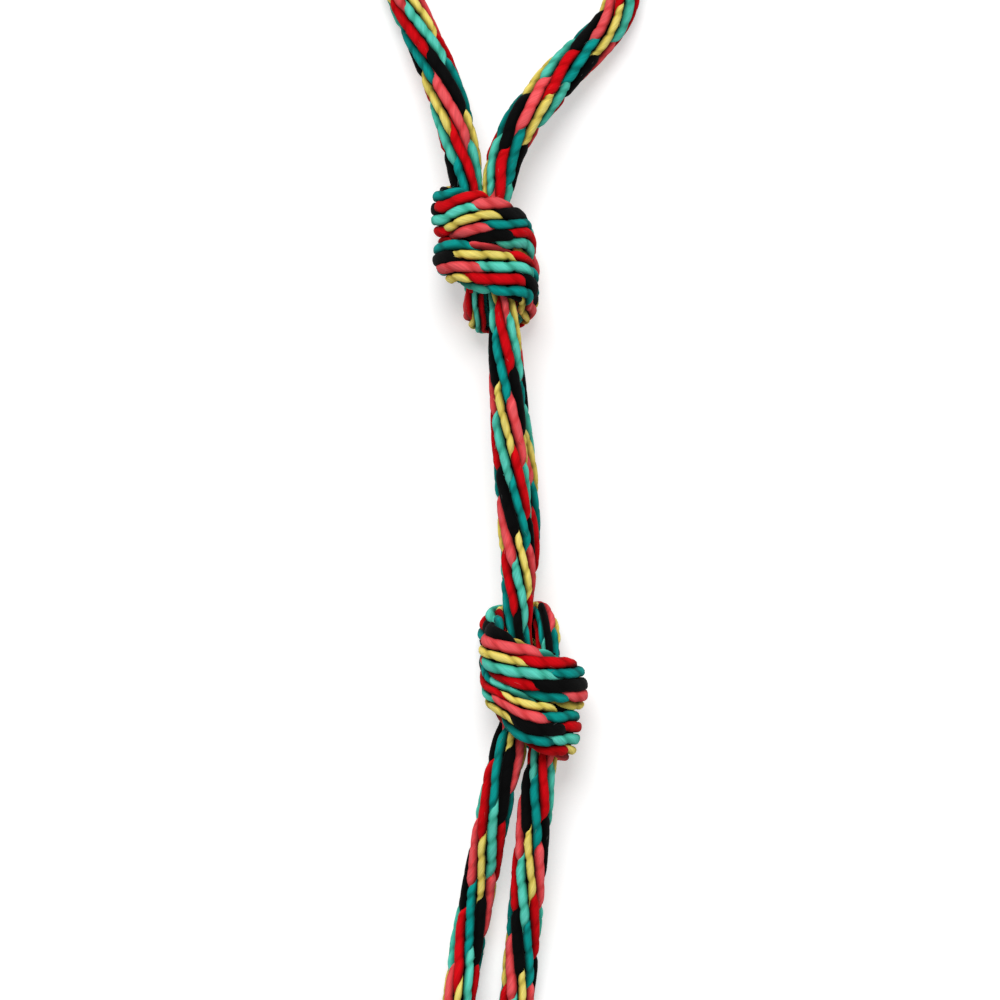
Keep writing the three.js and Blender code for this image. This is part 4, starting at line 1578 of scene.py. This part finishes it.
@dataclass
class FrayedEnd:
    """The yarns that come apart below a stopper knot."""

    neck: np.ndarray
    lean: float
    side: Side
    length: float = 42.0 * MM
    width: float = 22.0 * MM
    droop: float = 8.0
    yarns: int = 22
    yarn_radius: float = 1.45 * MM
    yarn_turn: float = 137.5
    reach_shares: tuple[float, float] = (0.86, 0.985)
    inside: float = 5.0 * MM
    points: int = 9
    step: float = 1.25 * MM
    wander: float = 1.1 * MM
    wander_kept: float = 0.6
    wander_out: float = 0.5
    thick_share: float = 1.2
    crease: float = 0.22
    tip_share: float = 0.45
    tip_steps: float = 4.0
    outline_shares: tuple = ((0.0, 0.22), (0.12, 0.28), (0.3, 0.36), (0.6, 0.47), (0.88, 0.5), (1.0, 0.48))
    shades: tuple[float, float] = (0.9, 1.1)
    # The least share of a frayed yarn's colour that its painted shade leaves.
    darkest: float = 0.3
    hairs: int = 7
    hair_length: float = 4.0 * MM
    hair_shares: tuple[float, float] = (0.5, 1.0)
    hair_spread: float = 0.35
    hair_bow: float = 0.15
    hair_root: float = 1.5 * MM

    def frame(self) -> tuple[np.ndarray, np.ndarray, np.ndarray]:
        """Returns the directions across, along and out of the fringe."""
        droop = math.radians(self.droop)
        turned = Place(np.zeros(3), -self.lean)
        across = turned.turned(np.array([1.0, 0.0, 0.0]))
        along = turned.turned(np.array([0.0, -math.cos(droop), -math.sin(droop)]))
        return across, along, np.cross(across, along)

    def route(self, index: int, chance: np.random.Generator) -> np.ndarray:
        """Returns one yarn's route, from inside the knot to its tip.

        Args:
            index: which yarn it is.
            chance: makes the yarns differ.
        """
        across, along, out = self.frame()
        spread = math.sqrt((index + 0.5) / self.yarns)
        angle = index * math.radians(self.yarn_turn)
        reach = self.length * chance.uniform(*self.reach_shares)
        shares, halves = zip(*self.outline_shares)
        rows = []
        wander = np.zeros(2)
        for distance in np.linspace(-self.inside, reach, self.points):
            half = np.interp(max(distance, 0) / self.length, shares, halves) * self.width - self.yarn_radius
            wander = wander * self.wander_kept + chance.normal(0, self.wander, 2) * (distance > 0)
            x = float(np.clip(spread * half * math.cos(angle) + wander[0], -half, half))
            y = spread * half * math.sin(angle) * ROPE.diameter / self.width * self.thick_share
            y += wander[1] * self.wander_out
            rows.append(self.neck + along * distance + across * x + out * y)
        return HandCurve(rows).spaced(self.step)

    def add_yarn(self, maker: MeshMaker, route: np.ndarray, dye: Dye, chance: np.random.Generator) -> None:
        """Adds a two-ply yarn that thins out at its tip.

        Args:
            maker: takes the mesh.
            route: the yarn's middle.
            dye: its colour.
            chance: makes the yarns differ.
        """
        run = unit(np.gradient(route, axis=0))
        out = unit(np.cross(np.cross(run, UP), run))
        steps = np.arange(len(route))
        tip = smooth((steps[-1] - steps) / self.tip_steps)
        size = self.yarn_radius * (self.tip_share + (1 - self.tip_share) * tip)
        depth = np.full(len(route), self.crease)
        place = YarnPlace(route, steps * self.step, run, out)
        rings, light, fibre = YARN.rings(place, size, size, depth, chance.uniform(0, 2 * math.pi))
        colour = dye.linear() * chance.uniform(*self.shades)
        # Painted shade: darker in the creases between the plies and on the yarn's underside, softened so that
        # no corner falls below the darkest share.
        maker.add_tube(rings, colour * (self.darkest + (1 - self.darkest) * light)[..., None], fibre)
        root = route[-1] - run[-1] * self.hair_root
        for _ in range(self.hairs):
            way = unit(run[-1] + chance.normal(0, self.hair_spread, 3))
            length = self.hair_length * chance.uniform(*self.hair_shares)
            maker.add_hair(root, way * length, chance.normal(0, self.hair_bow, 3) * length, colour)

    def build(self) -> bpy.types.Object:
        """Makes the frayed yarns and returns them as one piece."""
        maker = MeshMaker()
        chance = np.random.default_rng(5 if self.side is Side.LEFT else 11)
        dyes = list(Dye)
        for index in range(self.yarns):
            self.add_yarn(maker, self.route(index, chance), dyes[index % len(dyes)], chance)
        made = maker.build(f"{self.side.value}_frayed_yarns")
        log.info("%s: %d yarns", made.name, self.yarns)
        return made


class Signal:
    """A value in a shader, on which the usual operators add Math nodes."""

    def __init__(self, shader: "Shader", socket: bpy.types.NodeSocket) -> None:
        """Keeps the socket and the shader that it belongs to."""
        self.shader = shader
        self.socket = socket

    def maths(self, operation: str, *values: object) -> "Signal":
        """Returns a Math node's value, with this one first."""
        return self.shader.add("ShaderNodeMath", {"operation": operation}, self, *values)

    def __add__(self, other: object) -> "Signal":
        """Adds."""
        return self.maths("ADD", other)

    def __sub__(self, other: object) -> "Signal":
        """Takes away."""
        return self.maths("SUBTRACT", other)

    def __rsub__(self, other: object) -> "Signal":
        """Takes away from a number."""
        return self.shader.add("ShaderNodeMath", {"operation": "SUBTRACT"}, other, self)

    def __mul__(self, other: object) -> "Signal":
        """Multiplies."""
        return self.maths("MULTIPLY", other)

    __radd__ = __add__
    __rmul__ = __mul__


class Shader:
    """A material's or a world's nodes."""

    def __init__(self, owner: bpy.types.Material | bpy.types.World) -> None:
        """Clears the owner's nodes."""
        owner.use_nodes = True
        self.tree = owner.node_tree
        self.tree.nodes.clear()

    def add(
        self, kind: str, settings: dict[str, object] | None = None, *values: object, **named: object
    ) -> Signal:
        """Adds a node, sets it, then fills its inputs in order and by name.

        Args:
            kind: the node's type.
            settings: its own settings.
            values: its first inputs, as numbers or signals. None leaves one as it is.
            named: more inputs, with _ for a space.

        Returns:
            The node's first output that is in use.
        """
        node = self.tree.nodes.new(kind)
        for name, value in (settings or {}).items():
            setattr(node, name, value)
        sockets = [socket for socket in node.inputs if socket.enabled]
        pairs = list(zip(sockets, values))
        pairs += [(node.inputs[name.replace("_", " ")], value) for name, value in named.items()]
        for socket, value in pairs:
            if isinstance(value, Signal):
                self.tree.links.new(value.socket, socket)
            elif value is not None:
                socket.default_value = value
        outputs = [socket for socket in node.outputs if socket.enabled]
        return Signal(self, outputs[0]) if outputs else None

    def output(self, of: Signal, name: str) -> Signal:
        """Returns another output of a signal's node."""
        return Signal(self, of.socket.node.outputs[name])


@dataclass(frozen=True)
class CottonFinish:
    """Matte dyed cotton: soft fibres that run with each ply, paler where they are worn."""

    name: str = "dyed_cotton"
    roughness: float = 0.9
    sheen: float = 0.02
    fibre_width: float = 0.5 * MM
    fibre_length: float = 7.0 * MM
    patch_width: float = 2.2 * MM
    patch_length: float = 16.0 * MM
    noise_roughness: float = 0.6
    bump_depth: float = 0.16 * MM
    bump_strength: float = 0.75
    darkest: float = 0.42
    fibre_light: float = 0.8
    patch_light: float = 0.36
    rubbed_light: float = 0.6
    rubbed_from: float = 0.55
    patch_gloss: float = 0.1
    sheen_roughness: float = 0.5
    specular: float = 0.04

    def noise(self, shader: Shader, place: Signal, width: float, length: float, detail: float) -> Signal:
        """Returns noise drawn out along the fibres.

        Args:
            shader: the material's nodes.
            place: where the surface is in its yarn.
            width: the noise's size across the fibres.
            length: its size along them.
            detail: how many finer layers it has.
        """
        scale = (1 / width, 1 / width, 1 / length)
        drawn = shader.add("ShaderNodeVectorMath", {"operation": "MULTIPLY"}, place, scale)
        return shader.add(
            "ShaderNodeTexNoise", None, drawn, None, Scale=1.0, Detail=detail, Roughness=self.noise_roughness
        )

    def build(self) -> bpy.types.Material:
        """Makes the material and returns it."""
        material = bpy.data.materials.new(self.name)
        shader = Shader(material)
        # The colour attribute read here holds the yarns' colours with painted shade and painted highlights in
        # them; the noise below adds fibre tone and wear.
        dye = shader.add("ShaderNodeAttribute", {"attribute_name": "dye"})
        place = shader.output(shader.add("ShaderNodeAttribute", {"attribute_name": "fibre"}), "Vector")
        fibres = self.noise(shader, place, self.fibre_width, self.fibre_length, 3.0)
        patches = self.noise(shader, place, self.patch_width, self.patch_length, 1.0)
        # Paler fibres in random places, as wear; no highlight is painted here.
        rubbed = (fibres - self.rubbed_from).maths("MAXIMUM", 0.0)
        light = self.darkest + self.fibre_light * fibres
        light = light + self.patch_light * patches + self.rubbed_light * rubbed
        grey = shader.add("ShaderNodeCombineColor", None, light, light, light)
        base = shader.add("ShaderNodeMix", {"data_type": "RGBA", "blend_type": "MULTIPLY"}, 1.0, dye, grey)
        bump = shader.add(
            "ShaderNodeBump", None, Strength=self.bump_strength, Distance=self.bump_depth, Height=fibres
        )
        rough = self.roughness - self.patch_gloss * patches
        surface = shader.add(
            "ShaderNodeBsdfPrincipled", None, Base_Color=base, Roughness=rough, Normal=bump,
            Sheen_Weight=self.sheen, Sheen_Roughness=self.sheen_roughness, Specular_IOR_Level=self.specular,
        )
        shader.add("ShaderNodeOutputMaterial", None, surface)
        return material


@dataclass
class Studio:
    """A plain white floor, soft light and a camera straight above."""

    layout: Layout
    pixel: float = 0.35 * MM
    anchor_pixels: tuple[float, float] = (486.5, 259.0)
    frame_pixels: float = 1000.0
    camera_height: float = 2.5
    rope_height: float = 18.0 * MM
    floor_size: float = 6.0
    sky: float = 0.36
    key: float = 2.3
    key_angle: float = 35.0
    key_way: tuple[float, float, float] = (0.1, -0.7, -1.0)
    floor_grey: tuple[float, float, float, float] = (0.8, 0.8, 0.8, 1.0)
    floor_glow: float = 0.4

    def build(self) -> None:
        """Makes the floor, the lights and the camera."""
        bpy.context.scene.view_settings.view_transform = "Standard"
        self.build_floor()
        self.build_lights()
        self.build_camera()

    def background_rays(self, shader: Shader) -> Signal:
        """Returns 1 for the rays that see the background, and 0 for those that light the toy."""
        path = shader.add("ShaderNodeLightPath")
        kinds = ("Is Camera Ray", "Is Glossy Ray", "Is Transmission Ray")
        camera, glossy, through = (shader.output(path, kind) for kind in kinds)
        return camera.maths("MAXIMUM", glossy).maths("MAXIMUM", through)

    def build_floor(self) -> None:
        """Makes the floor, which is white to the camera and keeps the toy's shadow."""
        half = self.floor_size / 2
        mesh = bpy.data.meshes.new("floor")
        corners = [(-half, -half, 0), (half, -half, 0), (half, half, 0), (-half, half, 0)]
        mesh.from_pydata(corners, [], [(0, 1, 2, 3)])
        floor = bpy.data.objects.new("floor", mesh)
        bpy.context.scene.collection.objects.link(floor)
        material = bpy.data.materials.new("white_floor")
        shader = Shader(material)
        plain = shader.add("ShaderNodeBsdfDiffuse", None, self.floor_grey)
        glow = self.background_rays(shader) * self.floor_glow
        white = shader.add("ShaderNodeEmission", None, WHITE, glow)
        both = shader.add("ShaderNodeAddShader", None, plain, white)
        shader.add("ShaderNodeOutputMaterial", None, both)
        mesh.materials.append(material)

    def build_lights(self) -> None:
        """Makes the even light all round and the soft lamp above."""
        world = bpy.data.worlds.new("studio")
        bpy.context.scene.world = world
        shader = Shader(world)
        soft = shader.add("ShaderNodeBackground", None, WHITE, self.sky)
        white = shader.add("ShaderNodeBackground", None, WHITE, 1.0)
        both = shader.add("ShaderNodeMixShader", None, self.background_rays(shader), soft, white)
        shader.add("ShaderNodeOutputWorld", None, both)
        lamp = bpy.data.lights.new("key", "SUN")
        lamp.energy = self.key
        lamp.angle = math.radians(self.key_angle)
        key = bpy.data.objects.new("key", lamp)
        key.rotation_euler = Vector(self.key_way).to_track_quat("-Z", "Y").to_euler()
        bpy.context.scene.collection.objects.link(key)

    def build_camera(self) -> None:
        """Makes the camera, straight above the photograph's middle."""
        centre = self.frame_pixels / 2
        x = self.layout.shift[0] + (centre - self.anchor_pixels[0]) * self.pixel
        y = self.layout.shift[1] - (centre - self.anchor_pixels[1]) * self.pixel
        camera = bpy.data.cameras.new("camera")
        distance = self.camera_height - self.rope_height
        camera.lens = camera.sensor_width * distance / (self.frame_pixels * self.pixel)
        made = bpy.data.objects.new("camera", camera)
        made.location = (x, y, self.camera_height)
        bpy.context.scene.collection.objects.link(made)
        bpy.context.scene.camera = made


@dataclass
class RopeToy:
    """The whole toy."""

    layout: Layout = field(default_factory=Layout)

    def __post_init__(self) -> None:
        """Names the toy's parts."""
        self.handle = HandleLoop(self.layout)
        self.middle = MiddleRopes(self.layout)
        self.tails = (
            Tail(self.layout, Side.LEFT, 75 * MM, 11.0, (Lay(171 * MM, 0.2, 2.1), Lay(263 * MM, 0.0, 3.25))),
            Tail(self.layout, Side.RIGHT, 118 * MM, 5.6, (Lay(29 * MM, 0.0, 3.1), Lay(114 * MM, 0.0, 4.75))),
        )

    def build(self) -> None:
        """Makes every piece and gives it its finish."""
        cotton = CottonFinish().build()
        pieces = self.handle.build() + self.middle.build()
        for tail in self.tails:
            pieces += tail.build()
        for piece in pieces:
            piece.data.materials.append(cotton)


def main() -> None:
    """Makes the toy and its studio."""
    logging.basicConfig(level=logging.INFO, format="%(message)s")
    toy = RopeToy()
    toy.build()
    Studio(toy.layout).build()


if __name__ == "__main__":
    main()
